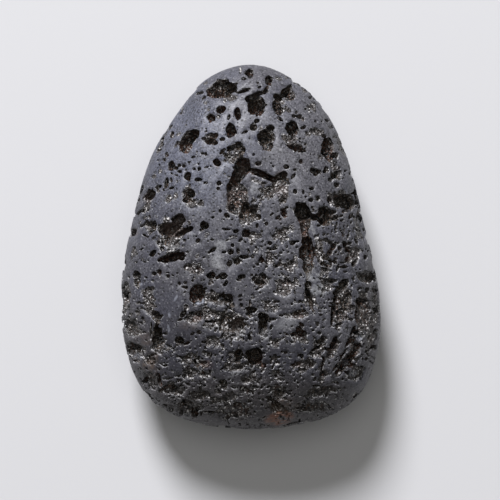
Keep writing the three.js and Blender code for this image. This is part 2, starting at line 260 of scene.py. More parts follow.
# Opened bubbles on the crest, as (x, y, long, wide) or (x, y, long, wide, turn in degrees) seen
# from straight above: first the deep ones.
DEEP = (
    (-4.4, 18.9, 1.7, 1.5), (-3.1, 19.7, 2.6, 1.8, -15), (-2.1, 19.5, 1.3, 1.1, 90),
    (-0.15, 21.3, 1.3, 1.1, 100), (-1.5, 16.1, 1.7, 0.8, 90), (0.7, 17.1, 2.4, 2.2),
    (-0.2, 18, 1.4, 0.9), (0.9, 18.6, 1.8, 0.6, 15), (1.9, 19.1, 1.2, 0.5, 60),
    (-2.3, 14.1, 1.7, 1.3, 90), (-3.6, 16.7, 1.1, 0.8, 20), (-4.8, 15.7, 0.9, 0.9),
    (2.3, 20.4, 1.3, 1.1, 70), (4.4, 19.1, 2.2, 0.9, 50), (3.3, 18.3, 1.2, 0.8),
    (4.9, 18.4, 1.3, 1.1, 90), (3.3, 16.9, 2.2, 1.3, 110), (3.6, 15.5, 1, 0.5, -40),
    (5.2, 14.4, 1.9, 1.8, 90), (5.7, 11.9, 2.4, 0.6, -15), (2.5, 14.4, 0.9, 0.9),
    (1.7, 13.8, 1.4, 0.8, 20), (1.9, 13.3, 1.8, 1.5), (2, 12.3, 1.5, 1.3, 90),
    (0.4, 14.5, 0.9, 0.8, 60), (-7, 13.7, 1.6, 1.3, 30), (-7.4, 13.1, 2.2, 1.2, 50),
    (-7.9, 12.3, 1.6, 1.5), (-9.6, 9.8, 1.2, 0.8, 90), (-12.3, 6.4, 1.5, 1.3, 50),
    (-7.2, 6.4, 1.3, 1.2, 90), (-7.5, 5.6, 1.3, 0.8), (-7.6, 8.5, 0.9, 0.8, 60),
    (-4, 10.2, 1.2, 1.2), (-5, 12.8, 1, 0.9), (-4.3, 12.6, 0.8, 0.7), (-14.5, 1.7, 1.5, 0.95, 20),
    (-12.5, 2.75, 1, 0.6, 10), (-11.75, 2.6, 1.1, 0.6, 80), (-12.1, 1.8, 0.9, 0.5, 60),
    (-13.85, -3.5, 1, 0.9, 90), (-13.8, -4.4, 1.1, 0.9, 95), (-11.85, -0.8, 1.1, 0.8, 45),
    (-1.4, 12.3, 0.9, 0.8, 90), (-0.9, 11.6, 0.8, 0.6, 90), (-2.4, 11.9, 0.9, 0.8),
    (-1, 9.4, 2.6, 1.7, 60), (-2, 8.1, 1.4, 0.8, 50), (-2.6, 7, 1.3, 0.7, 80),
    (-2.6, 5.9, 1.1, 0.5, 85), (-2.2, 4.6, 0.9, 0.8), (-0.6, 4.5, 1.6, 0.9, 80),
    (0.2, 4.1, 1.1, 0.8, 25), (-0.9, 3.6, 0.9, 0.7), (0.9, 8.9, 2, 0.9, -25),
    (2.4, 8.3, 1.8, 0.7, -25), (3.8, 8.6, 1.4, 0.9, 20), (-5.5, 2.5, 1.3, 1.1),
    (-0.5, 1.6, 0.9, 0.85), (-1.8, 1.8, 0.75, 0.6, 10), (-2.9, 2.05, 1.1, 0.35, -8),
    (-2.3, -0.7, 0.85, 0.8), (-3.2, -0.7, 0.6, 0.4, 10), (-2.5, -2.1, 0.75, 0.6, 45),
    (-1.6, -1.8, 0.9, 0.8, 30), (-0.8, -1.3, 1.1, 0.5, -8), (4.1, 3.95, 1.1, 0.7, 95),
    (1, 3.6, 0.8, 0.65, 45), (-4.8, -3.5, 1.1, 0.8, 10), (-3.3, -3.6, 1.1, 0.8, 10),
    (-4, -3.8, 0.5, 0.4), (-3, -4.5, 0.85, 0.5, 50), (-1.05, -3.65, 1, 0.6, 5),
    (1.6, -3.7, 0.9, 0.7, 120), (1.1, -4.4, 1.4, 0.6, -10), (0.4, -3.9, 0.7, 0.5, 80),
    (-8.5, 3.3, 1.3, 1.2, 90), (-9.6, 2.4, 2.4, 1.1, 10), (-10.2, 1.8, 1.5, 1.2),
    (-10.4, 0.8, 1.2, 0.9, 90), (-7.3, 2, 1.3, 0.7, 30), (-10.7, -0.3, 0.8, 0.6, 100),
    (-10, -1.5, 1.9, 1.1, 20), (-9, -1.1, 1.2, 0.9, 30), (-8.3, -1.2, 1.2, 0.9, 80),
    (6.2, 4.3, 1.8, 1.6, 90), (7.4, 3.35, 1.1, 0.45, -20), (7.1, 2.7, 1.2, 0.4, 80),
    (6.6, 1.6, 1.7, 1, 90), (6.6, 0.4, 1.5, 1.1, 90), (6.8, -1, 2, 1.7, 90),
    (7.1, -2.4, 1.2, 1.1, 90), (6.85, -3.4, 1.4, 0.45, 92), (6.9, -4.6, 0.95, 0.9),
    (6.95, -5.5, 1.2, 0.45, 90), (9.6, 12, 2.8, 1.6, 95), (10.5, 11.2, 0.9, 0.8, 90),
    (10.5, 8.8, 0.9, 0.9), (8, 9, 0.9, 0.9), (12, 5.4, 1.9, 1.6), (13.1, 6.3, 1.3, 0.7, 90),
    (9.2, 9.4, 0.8, 0.7, 90), (9.6, 5.7, 0.9, 0.8, 90), (9, 3.6, 1.9, 1.9),
    (9.9, 4.15, 1.2, 0.5, 5), (10.1, 0, 1.1, 0.6, 60), (11.5, 0.2, 1, 0.6, 110),
    (12, -0.4, 0.9, 0.7, -40), (10.8, -0.3, 0.7, 0.4, -65), (12.9, 0.65, 0.9, 0.45, -60),
    (9.7, -2, 1.1, 0.5, 100), (11.3, -2.5, 1.1, 0.35), (12.6, -2.1, 0.9, 0.5, 45),
    (11.2, 1.6, 1.1, 0.35, -60), (11.4, -4.5, 1.3, 1, 40), (12.15, 3.6, 0.8, 0.6, 70),
    (11.5, 4.3, 0.8, 0.5, 20), (-6.4, -5.7, 2.1, 1.45, 80), (-2.9, -6.25, 1.7, 1.1, -15),
    (-11.4, -8.5, 1.15, 0.95, 90), (-11.2, -9.2, 0.6, 0.6), (-11.4, -10, 0.9, 0.6, 90),
    (-11.4, -10.7, 0.8, 0.7), (-11.3, -11.5, 1.3, 0.8), (-10.7, -11.6, 0.8, 0.7, -30),
    (-11.5, -12.2, 0.7, 0.6), (-8.5, -11.4, 1.2, 1.05), (-14.4, -12.5, 1.7, 0.7, 5),
    (-11.1, -16.6, 1.4, 0.65, 100), (-13, -16.6, 0.9, 0.75, 40), (-9.4, -17.7, 0.9, 0.7, 80),
    (-8.2, -19.4, 1.2, 0.7, 20), (-6.8, -20.6, 1.1, 1), (-9.7, -20.3, 0.8, 0.4),
    (1.55, -8.5, 1.2, 0.9), (1.5, -9.3, 1.5, 1, 90), (0.1, -7.7, 1.4, 0.9),
    (-0.2, -8.2, 1, 0.5, -20), (-1.6, -9.6, 1.7, 1.4, 35), (-3.4, -9.3, 1.8, 0.5, 75),
    (-2.1, -10.8, 0.6, 0.4, -10), (-0.15, -10.95, 0.75, 0.5, 95), (0.6, -13.4, 2.1, 1.35, 95),
    (1.5, -14.5, 0.9, 0.6, -10), (-1.4, -13.1, 1.3, 0.9, 90), (-1.5, -14, 0.8, 0.6),
    (3.3, -19.5, 1.7, 0.8, -20), (2.6, -18.7, 1.2, 0.6, -40), (-1.8, -19.4, 1.1, 0.6),
    (6, -19.8, 0.9, 0.4), (-3.5, -16.5, 0.8, 0.8), (10.75, -5.6, 1.6, 0.4, 80),
    (10.3, -7.2, 1.8, 0.35, 72), (12.1, -6.4, 1.4, 0.35, 80), (11.75, -7.8, 1, 0.3, 70),
    (10.7, -8, 0.6, 0.5), (11.2, -8.3, 0.7, 0.3), (13.5, -6.8, 1.1, 0.8, 90),
    (12.95, -8.4, 2, 0.35, 85), (12.5, -10.3, 1.4, 0.5, 65), (11.9, -11.7, 1.4, 0.45, 62),
    (11.2, -13.3, 1.8, 0.4, 60), (10.4, -14.7, 1.4, 0.4, 55), (12.5, -11.5, 1, 0.9),
    (13.3, -12.2, 1, 0.4, -20), (10.1, -11.7, 1.7, 0.8, 68), (9.4, -12.5, 0.8, 0.5),
    (8.8, -14.3, 1.9, 0.35, 82), (8.8, -15.8, 0.5, 0.4, 80), (8.6, -11.5, 0.9, 0.8, 45),
    (8, -12.4, 1.9, 0.45, 32), (6.25, -13.3, 0.85, 0.6, 70), (7.3, -7.4, 0.9, 0.3, -50),
    (6.3, -10.4, 1.3, 0.7, -38), (15.2, -12.5, 0.8, 0.7, 90), (12.4, -14.6, 1.1, 0.5, 20),
    (12.9, -13.8, 0.6, 0.35), (14.2, -13.8, 0.5, 0.4), (13.6, -14.8, 0.6, 0.3),
    (14.3, -3.6, 1, 0.5, -20), (15.4, -3.5, 0.9, 0.5, 100),
)

# Shallow dishes.
SHALLOW = (
    (-9.4, 1.2, 3.8, 2.5, 75), (-1.5, 5.7, 4, 2.7, 85), (0, -11.1, 0.8, 0.8),
    (1.8, -10.6, 1.1, 1.5, -30), (-1.5, -10.6, 1.8, 0.9, 35), (-5.5, 20.2, 0.7, 0.6),
    (-3.9, 15.8, 0.6, 0.55, 90), (-3.1, 17.8, 0.7, 0.5, 90), (-5.5, 17.6, 0.6, 0.55),
    (-5.1, 16.7, 0.6, 0.5, 90), (-8.8, 13.85, 0.8, 0.5, 35), (3.5, 20.7, 1.1, 0.6, -15),
    (4.5, 20.9, 0.8, 0.7), (4.7, 16.6, 0.9, 0.7), (7.6, 17.2, 1.3, 1.2), (6.9, 19.3, 1.2, 0.9),
    (4.6, 12.8, 0.8, 0.7), (5.5, 12.9, 0.7, 0.7), (8.2, 13.75, 1.6, 0.5), (7.1, 13.7, 0.8, 0.7),
    (9.9, 14.7, 0.8, 0.5), (10.4, 13.5, 0.8, 0.5), (1.3, 14.3, 0.8, 0.6, 90),
    (-9.1, 6.1, 0.9, 0.6, 80), (-9.9, 5.8, 1.1, 0.7, 80), (-6, 5.4, 1, 0.8),
    (-11, 9.2, 0.65, 0.55, 90), (-11.8, 8.6, 0.7, 0.6), (-12.6, 5.3, 1.2, 0.8, 60),
    (-13.8, 5.7, 1, 0.6, 60), (-7.3, 7.2, 0.8, 0.5, 90), (-1.9, 11, 1.4, 1.2),
    (8.6, 10.9, 0.8, 0.7), (10.4, 10.4, 0.8, 0.7), (10.5, 9.6, 0.8, 0.6, 90), (9.6, 6.4, 0.8, 0.5),
    (10.4, 5.6, 0.7, 0.6), (11.2, 6.5, 1, 0.8), (7.7, 4.4, 0.9, 0.85), (-13, 3.5, 0.8, 0.5, 45),
    (-13.5, 3, 0.8, 0.35, 30), (-14.3, -1, 0.9, 0.7, 90), (-13.2, -1.6, 0.6, 0.6),
    (-10.2, 3.2, 1, 0.9, 90), (-8.6, 1.5, 1.5, 0.8, 25), (-9.4, 0.1, 1.3, 1, 90),
    (-6.4, -1.2, 0.7, 0.6), (-7.3, 3, 0.7, 0.5), (-7.3, -2.9, 1, 0.5, -5), (-7, -2.2, 0.8, 0.35),
    (3.5, 1.4, 1.6, 1.3, 60), (3.8, 0.7, 1.2, 0.5, 20), (5, 2.3, 1.1, 0.7, 70), (-5.3, 1.5, 1, 0.6),
    (0.5, 1.2, 1, 0.9), (5.4, -1.3, 0.8, 0.7, 90), (5, -2.7, 1.1, 0.8, 30), (4.2, -2.4, 1, 0.4, 45),
    (3.8, -3.4, 0.8, 0.5), (1.2, -4.2, 2.1, 1.8), (0.6, -0.6, 0.65, 0.6),
    (-5.2, -6.2, 1.1, 0.9, 90), (8.8, -3.2, 1.2, 0.6, 10), (12.9, -1.3, 0.7, 0.4, -20),
    (13.5, -0.5, 0.9, 0.5, -10), (14.6, 0.5, 0.8, 0.5, 70), (11.4, -6, 2.8, 1.7, 100),
    (10.9, -8.1, 2.8, 1.5, 78), (13.6, -8.6, 3.8, 1.2, 85), (13, -11.7, 2.6, 1.5, 62),
    (11.6, -14, 2.8, 1.2, 56), (10.8, -15.3, 1.6, 1, 50), (9.6, -13.3, 1.5, 0.8, 35),
    (8.1, -13, 2, 0.9, 30), (7.6, -6.6, 1.6, 1.2, 110), (6.65, -6.3, 2.6, 0.4, 93),
    (6.2, -15, 1.2, 1), (12.6, -15.6, 1.1, 1), (-14.2, -13.2, 1.9, 1.6),
    (-7.7, -7.4, 1.1, 0.8, 100), (-13.9, -10.6, 1.1, 0.8), (-15.2, -6.2, 1.2, 0.9, 90),
    (-13.7, -8.1, 0.9, 0.6, 90), (-14.6, -8.4, 0.7, 0.6), (-15.2, -7.6, 0.8, 0.6, 20),
    (-12.3, -13.5, 0.8, 0.6, -30), (-12.9, -12.6, 0.8, 0.5, 90), (-13.3, -9.4, 0.9, 0.4, 20),
    (-14.2, -9.5, 0.7, 0.4), (1.7, -10.5, 1.3, 0.8, 80), (-2.1, -8.5, 1.2, 0.8, 30),
    (-1.6, -8.3, 0.8, 0.7), (-4.2, -11.2, 0.7, 0.6), (0.4, -15.6, 1.1, 0.8, 80),
    (-1.8, -14.8, 2.2, 0.8, 20), (3, -15.2, 1.3, 0.6), (-0.6, -16.4, 1.3, 1.2),
    (-5.4, -14.4, 1, 0.8), (-7.2, -14, 0.8, 0.6, 90), (5.6, -8.4, 1.8, 0.8),
    (15.2, -8.2, 0.8, 0.6, 40), (8.6, -19.3, 1.4, 0.9, 10), (12.9, -18.3, 1, 0.7, 40),
)

# Pinholes, gathered by size: (long, wide) or (long, wide, turn), and each one's (x, y).
PINS = {
    (0.8, 0.4): ((-6.3, 8.1), (5.4, -14.4), (-3, -21.1)),
    (0.6, 0.5): ((0.8, 15.3), (4.4, 9.6), (10.5, 7.5), (7.3, 5.6), (5.2, -10.7)),
    (0.6, 0.5, 90): ((8.2, 5.8), (14.7, -3.9), (7.4, -14.5)),
    (0.9, 0.3, 10): ((-6.3, 18.9), (2.8, -0.3)),
    (0.5, 0.5): (
        (-4.7, 13.5), (6, 15.8), (-3.8, 7.65), (0.25, -1.25), (14.1, -1.3), (9.9, -4.2),
        (-8.5, -20.6),
    ),
    (0.6, 0.4): (
        (-0.8, 20.6), (-3.4, 13), (9, 13.5), (7.4, 7), (9.3, -2.3), (9.1, -2.8), (-0.1, -18.9),
    ),
    (0.6, 0.4, 20): ((-11.2, 11.9), (4.8, -2)),
    (0.6, 0.4, 90): ((7.5, 9.2), (11.9, -15.4)),
    (0.5, 0.45): ((-11.65, -3.3), (2.35, 0.35)),
    (0.5, 0.45, 90): ((5.4, 6.6), (6.1, 10.3), (-2.15, 0.15), (10.3, -2)),
    (0.7, 0.3, 50): ((-9.9, 14.7), (5.2, 8.5)),
    (0.5, 0.4, -30): ((9.65, 0.45), (14.3, -5.3)),
    (0.5, 0.4): (
        (-2.5, 13.4), (5.3, 15.9), (9.7, 8.1), (12.3, 9), (10.6, 4.8), (12.1, 0.4), (-6.2, -10.4),
        (-7.4, -15.6), (11, -6.4), (8.3, -10.5), (13.6, -8.5), (15.2, -7.6), (-11, -17.8),
    ),
    (0.5, 0.4, 90): ((-10.2, 11.2), (15.1, -0.2), (-1.1, -7.1), (-11.3, -15.7)),
    (0.45, 0.4): ((7.35, 18.3), (-8.1, 9.8), (-9.95, -3.6), (6, -15)),
    (0.6, 0.3): ((2.4, 6), (-9.2, -20.7)),
    (0.5, 0.35): ((-8.6, 9.1), (3.1, -2.4), (8.9, -5.3), (-5.6, -15.6)),
    (0.4, 0.4): (
        (-10.5, 10.6), (-8.6, 9.85), (-9, 9.5), (-3.9, 7), (-15, -6.8), (-15.8, -8.6), (11.7, -6.3),
        (-0.6, -17.2), (-0.7, -19.3), (8.7, -20),
    ),
    (0.5, 0.3): (
        (-5.4, 7.7), (-5.9, 1.95), (5.6, 0.6), (-12.4, -7.7), (-10.3, -10.6), (-3.4, -12),
        (-5.6, -11.6), (10.2, -12.5), (-8.1, -18.8), (-10.5, -19.6), (-12.7, -18.2), (-3.2, -17.3),
        (10.4, -16.6), (9.7, -19.9),
    ),
    (0.5, 0.3, 30): ((1.1, 19.5), (-1.25, -6)),
    (0.5, 0.3, 45): ((5.9, -6.7), (-6.3, -18.1)),
    (0.5, 0.3, 90): ((-10.75, 13.2), (-9.65, 8.1), (6.4, 6.6)),
    (0.6, 0.25): ((-7.9, -4.95), (3.2, -6.7), (-10.6, -17.5)),
    (0.6, 0.25, 20): ((-8.8, 0.7), (-8.5, -8.9)),
    (0.4, 0.35): ((3.8, 4.4), (-12.3, -5.4), (6.6, -15.1), (-12, -16.7)),
    (0.5, 0.25): ((5.6, -4.2), (8.3, 2.5), (-8.6, -13.4)),
    (0.35, 0.35): ((-8.25, 13.25), (-8.85, 12.65), (-11.3, 6.8), (-13.55, -6.9), (7.6, -15.6)),
    (0.4, 0.3): (
        (5.4, 9.3), (-14.4, 3.9), (-12.3, 2.2), (4.4, 4.7), (-4.6, -3.9), (8.3, -1.8), (12.6, 2.2),
        (-0.6, -13.5), (0, -15.9), (3.1, -14.2), (8.5, -8.3), (7.6, -7.8), (14, -7.6),
        (-2.2, -17.9),
    ),
    (0.4, 0.3, 60): ((0.9, -2.2), (12.3, 2.9), (-14.9, -10.3)),
    (0.4, 0.3, 90): (
        (-5.4, 11.2), (-12.3, 3.55), (14, 2.1), (-7.2, -6.4), (9.95, -8.9), (-9.2, -18.1),
    ),
    (0.35, 0.3): (
        (-1.2, 21.7), (-11.8, -4.2), (2.2, -0.5), (-15.8, -5.8), (2.3, -6.7), (8.4, -7.85),
        (7.6, -10.2), (-6.1, -17.3),
    ),
    (0.4, 0.25): ((-8.95, 8.65), (-7.45, 10.25), (-7.6, -0.7), (0.3, -6.25)),
    (0.5, 0.2): (
        (3.7, -2.15), (11.5, -3.1), (13.4, -5.1), (-12, -6.3), (-7.1, -9), (3.3, -7.3),
        (14.7, -8.2), (-6.1, -16.8),
    ),
    (0.3, 0.3): (
        (-1.2, 21.3), (0.9, 20), (5.6, 16.35), (6.75, 16.8), (8, 15.3), (-9.1, 12.3),
        (-11.95, 12.5), (-10.55, 6.85), (-5.8, 11.3), (0.4, 11.1), (6.7, 6), (7.15, 6.3),
        (-7.85, -4.4), (-3.65, 4.25), (-5, -0.75), (2.45, -1.8), (-4.9, -4.55), (-5.4, -5.1),
        (14.4, -0.6), (13.6, 3), (-12.5, -6.7), (-13.1, -8.8), (-2.3, -11.8), (5, -11.6),
        (-4.8, -14), (-4.9, -15.2), (5.3, -11.2), (5.8, -13.3), (13.5, -7.2), (-12.9, -16.2),
        (-8.75, -16.3), (-2.9, -18), (0.2, -19.4), (0.5, -20.3), (2, -18.5), (13.1, -18.9),
    ),
    (0.35, 0.25): (
        (-6.8, 9.4), (-13.95, -1.95), (-12.7, -3.8), (-4.6, 0.8), (-4.6, -5.4), (3.2, -13.45),
    ),
    (0.4, 0.2): (
        (-12.85, -1.9), (-2.4, 1.2), (-12.9, -6.2), (-12.1, -14.4), (-6.7, -7.1), (-4.1, -12),
        (2.5, -11.4), (4.3, -12.8), (4.1, -11), (7.9, -6.9), (5.2, -14.9), (-9.8, -16.1),
        (-2.5, -16.15),
    ),
    (0.4, 0.2, 30): ((10.4, 1.7), (4.2, -8.2)),
    (0.3, 0.25): (
        (-5.4, 14), (-11, -3.5), (-6.9, 3.7), (-2.2, 3.25), (2.7, -1), (3.6, -1.7), (5.6, -0.1),
        (9.3, -4.2),
    ),
    (0.5, 0.15): ((10.1, -4.9), (-4.6, -9.7)),
    (0.35, 0.2): ((-2.6, 8.4), (-12.5, 1.15), (-11.65, 1.05), (0.25, -5.9)),
    (0.25, 0.25): (
        (-1.25, 22), (-7.9, 14.9), (8.8, 15.35), (-11.4, 11.55), (-11.3, 10.5), (-11.1, 10),
        (-9.6, 8.9), (-6.3, 10), (2.75, 9.7), (7.3, 11.2), (-14.9, -3.8), (-9.4, -3.5),
        (-6.55, 1.2), (3.7, 2.7), (-5.6, -4.1), (1.2, -5.6), (11.3, 3.2), (-15.7, -10.8),
        (-10.7, -8.4), (2.4, -13.4), (0, -17.1), (3.7, -16.7), (11.5, -17.3),
    ),
    (0.3, 0.2): (
        (-4.4, 4.2), (-12, -7), (1.9, -6.7), (-5.4, -7.1), (-5.4, -12.4), (8.8, -8.95),
        (2.6, -17.1), (11.8, -19),
    ),
    (0.4, 0.15): ((1.3, 0), (8, 0.05), (11.1, -2)),
    (0.25, 0.2): (
        (-4.8, 9.7), (-12.45, -1.75), (-8.8, -3.25), (-3.2, 3.25), (1.4, -1.15), (3.5, -1.2),
        (2.7, -3), (-3.5, -13), (9.7, -6.9), (-6.9, -17.1),
    ),
    (0.3, 0.15): ((-12.85, -4.25), (3.55, -0.8), (13.4, -2.8), (-12.5, -8.05)),
    (0.2, 0.2): (
        (-0.1, 13.1), (-5.4, 14.35), (-8.9, 8), (-6.5, 11.5), (-7.8, 9.3), (2.5, 10.05),
        (-3.1, 8.8), (7.5, 10.2), (-12.95, 0.15), (-12.5, -0.7), (-2.3, 2.55), (3.3, 4.2),
        (-5.1, 0.6), (4, -0.55), (-0.55, -4.8), (10.8, 3.6), (4.8, -12.9), (2.1, -6.3),
        (10.1, -9.75),
    ),
}

# Pinholes of other sizes, in rows like those of the deep bubbles.
ODD_PINS = (
    (-7, 19.1, 1, 0.35, 45), (-7.8, 18.35, 0.5, 0.3, 50), (-8.5, 17.3, 0.9, 0.3, 80),
    (-8.6, 16.4, 0.45, 0.25, 45), (-5.7, 18.2, 0.45, 0.3, 20), (-2.6, 15.7, 0.6, 0.25, 75),
    (-0.8, 19.05, 1.5, 0.45, 20), (-9.6, 13.7, 0.8, 0.5, 70), (-0.7, 13.85, 0.8, 0.3, 25),
    (-5.7, 13.15, 0.45, 0.25, 20), (-4.2, 13.5, 0.55, 0.5), (6.4, 15.5, 0.5, 0.35, 90),
    (6.4, 14.5, 0.7, 0.4, 20), (9.4, 15.5, 0.6, 0.35, -30), (-10.9, 12.6, 0.7, 0.6, 90),
    (-10.2, 7.7, 1.2, 0.5, 80), (-9.55, 7.1, 0.6, 0.3, 15), (-11.2, 7.25, 0.8, 0.45, 20),
    (-6.9, 10.85, 0.5, 0.25, 20), (-6.2, 9.4, 0.45, 0.4, 90), (-5.3, 9.6, 0.5, 0.2, 15),
    (-3.4, 11.5, 0.9, 0.4, 45), (0.9, 10, 0.7, 0.45), (4, 5.45, 0.6, 0.45),
    (-13.6, 4.2, 0.9, 0.35, 40), (-12.9, 1.35, 0.5, 0.25, -20), (-13.3, -0.35, 0.6, 0.2, 30),
    (-11.1, -0.95, 0.3, 0.25, 90), (-15.8, -2.3, 1.4, 0.3, 90), (-11, -3.1, 0.6, 0.55, 90),
    (-10, -3.2, 0.45, 0.15), (-6.3, 0.7, 0.6, 0.5, 60), (-6.3, -2.6, 0.6, 0.4, 30),
    (-8.6, -4.5, 0.4, 0.35, 90), (-15.8, -5.1, 0.7, 0.3, 70), (-4.5, 3.5, 0.4, 0.25, 30),
    (-2.8, 3.7, 0.6, 0.45, -45), (2.6, 3.9, 0.6, 0.25, 45), (3.3, 3.5, 0.6, 0.35, 45),
    (3.6, 3.25, 0.4, 0.25, 45), (1.95, 2.75, 0.45, 0.35, 90), (0.8, 2.5, 0.5, 0.3, 80),
    (-1.25, 0.7, 0.45, 0.3, 60), (-4.5, -0.4, 0.8, 0.4, 30), (-1.5, -0.6, 0.7, 0.4, 100),
    (1.3, -1.7, 0.7, 0.6, 60), (3.1, -1.4, 0.5, 0.25, -45), (-5.6, -1.35, 0.35, 0.25, 30),
    (-1.4, -4.1, 0.6, 0.3, -15), (5.1, 0.4, 0.7, 0.5, 30), (10.4, 3.5, 0.7, 0.5, 60),
    (9.2, 0.75, 0.55, 0.4, -40), (9.6, -0.8, 0.6, 0.5, 40), (9.2, -1.4, 0.6, 0.5, -40),
    (8.8, -2.1, 0.6, 0.35, 30), (10.3, -1.5, 0.45, 0.25), (11.65, -1.7, 0.5, 0.4, 40),
    (10.6, -2.6, 0.9, 0.35, 75), (13.4, 2, 0.7, 0.3, -20), (9.1, -4.7, 0.6, 0.3, -35),
    (15.2, -5.4, 0.6, 0.4, -60), (-16.1, -6.2, 0.6, 0.2, 90), (-14.7, -5.9, 0.7, 0.25, 90),
    (-15.7, -9.6, 0.9, 0.3, 75), (-12.1, -10.3, 1.8, 0.2, 85), (-10, -12, 0.5, 0.2, -20),
    (-7.7, -11.8, 0.8, 0.3, 30), (-15.1, -12.9, 0.7, 0.3, 90), (-13.8, -12.8, 0.8, 0.35, 90),
    (-10.3, -14.5, 0.6, 0.35, 20), (-8.1, -8.2, 0.9, 0.5, 45), (-6.9, -8.1, 0.9, 0.4, -10),
    (-6.1, -8.3, 0.7, 0.5), (-7, -10.6, 0.5, 0.25, 40), (-6.6, -14.3, 1.1, 0.3, -65),
    (-6.3, -15.2, 0.6, 0.2), (-4.2, -6.4, 0.8, 0.5, 20), (-2.6, -7.4, 1.2, 0.2, -40),
    (-2.2, -7.1, 0.7, 0.5, -40), (-1.2, -6.5, 0.45, 0.2), (-4.8, -9.1, 1.2, 0.25),
    (2.5, -9.8, 0.65, 0.3, 70), (2.7, -8.8, 0.8, 0.3), (3, -11.7, 0.4, 0.3, -20),
    (1.35, -12.2, 0.35, 0.3, -60), (4.3, -10.6, 0.7, 0.25, -35), (3.6, -8.35, 0.3, 0.2, 45),
    (-4.8, -13.4, 0.6, 0.25, 70), (10.8, -9.5, 0.9, 0.25, 20), (8.1, -9.4, 0.5, 0.4, 70),
    (9.8, -9.7, 0.4, 0.15, 30), (5.4, -6.6, 0.6, 0.2, -60), (6.2, -7.8, 0.9, 0.35),
    (5.3, -8.2, 0.8, 0.35), (6.2, -9.5, 0.7, 0.4, -40), (7.8, -11.1, 0.28, 0.25),
    (7, -13.9, 0.5, 0.2, 20), (13, -10.5, 0.6, 0.6), (14.3, -12.9, 0.6, 0.3, 20),
    (15.3, -8.5, 0.5, 0.3, -30), (15.5, -10.3, 0.5, 0.3, -45), (-7.6, -16.8, 0.6, 0.3, -20),
    (-5.2, -20.3, 1.4, 0.3), (-0.4, -17.7, 0.9, 0.3, -30), (8, -17, 0.8, 0.25),
)

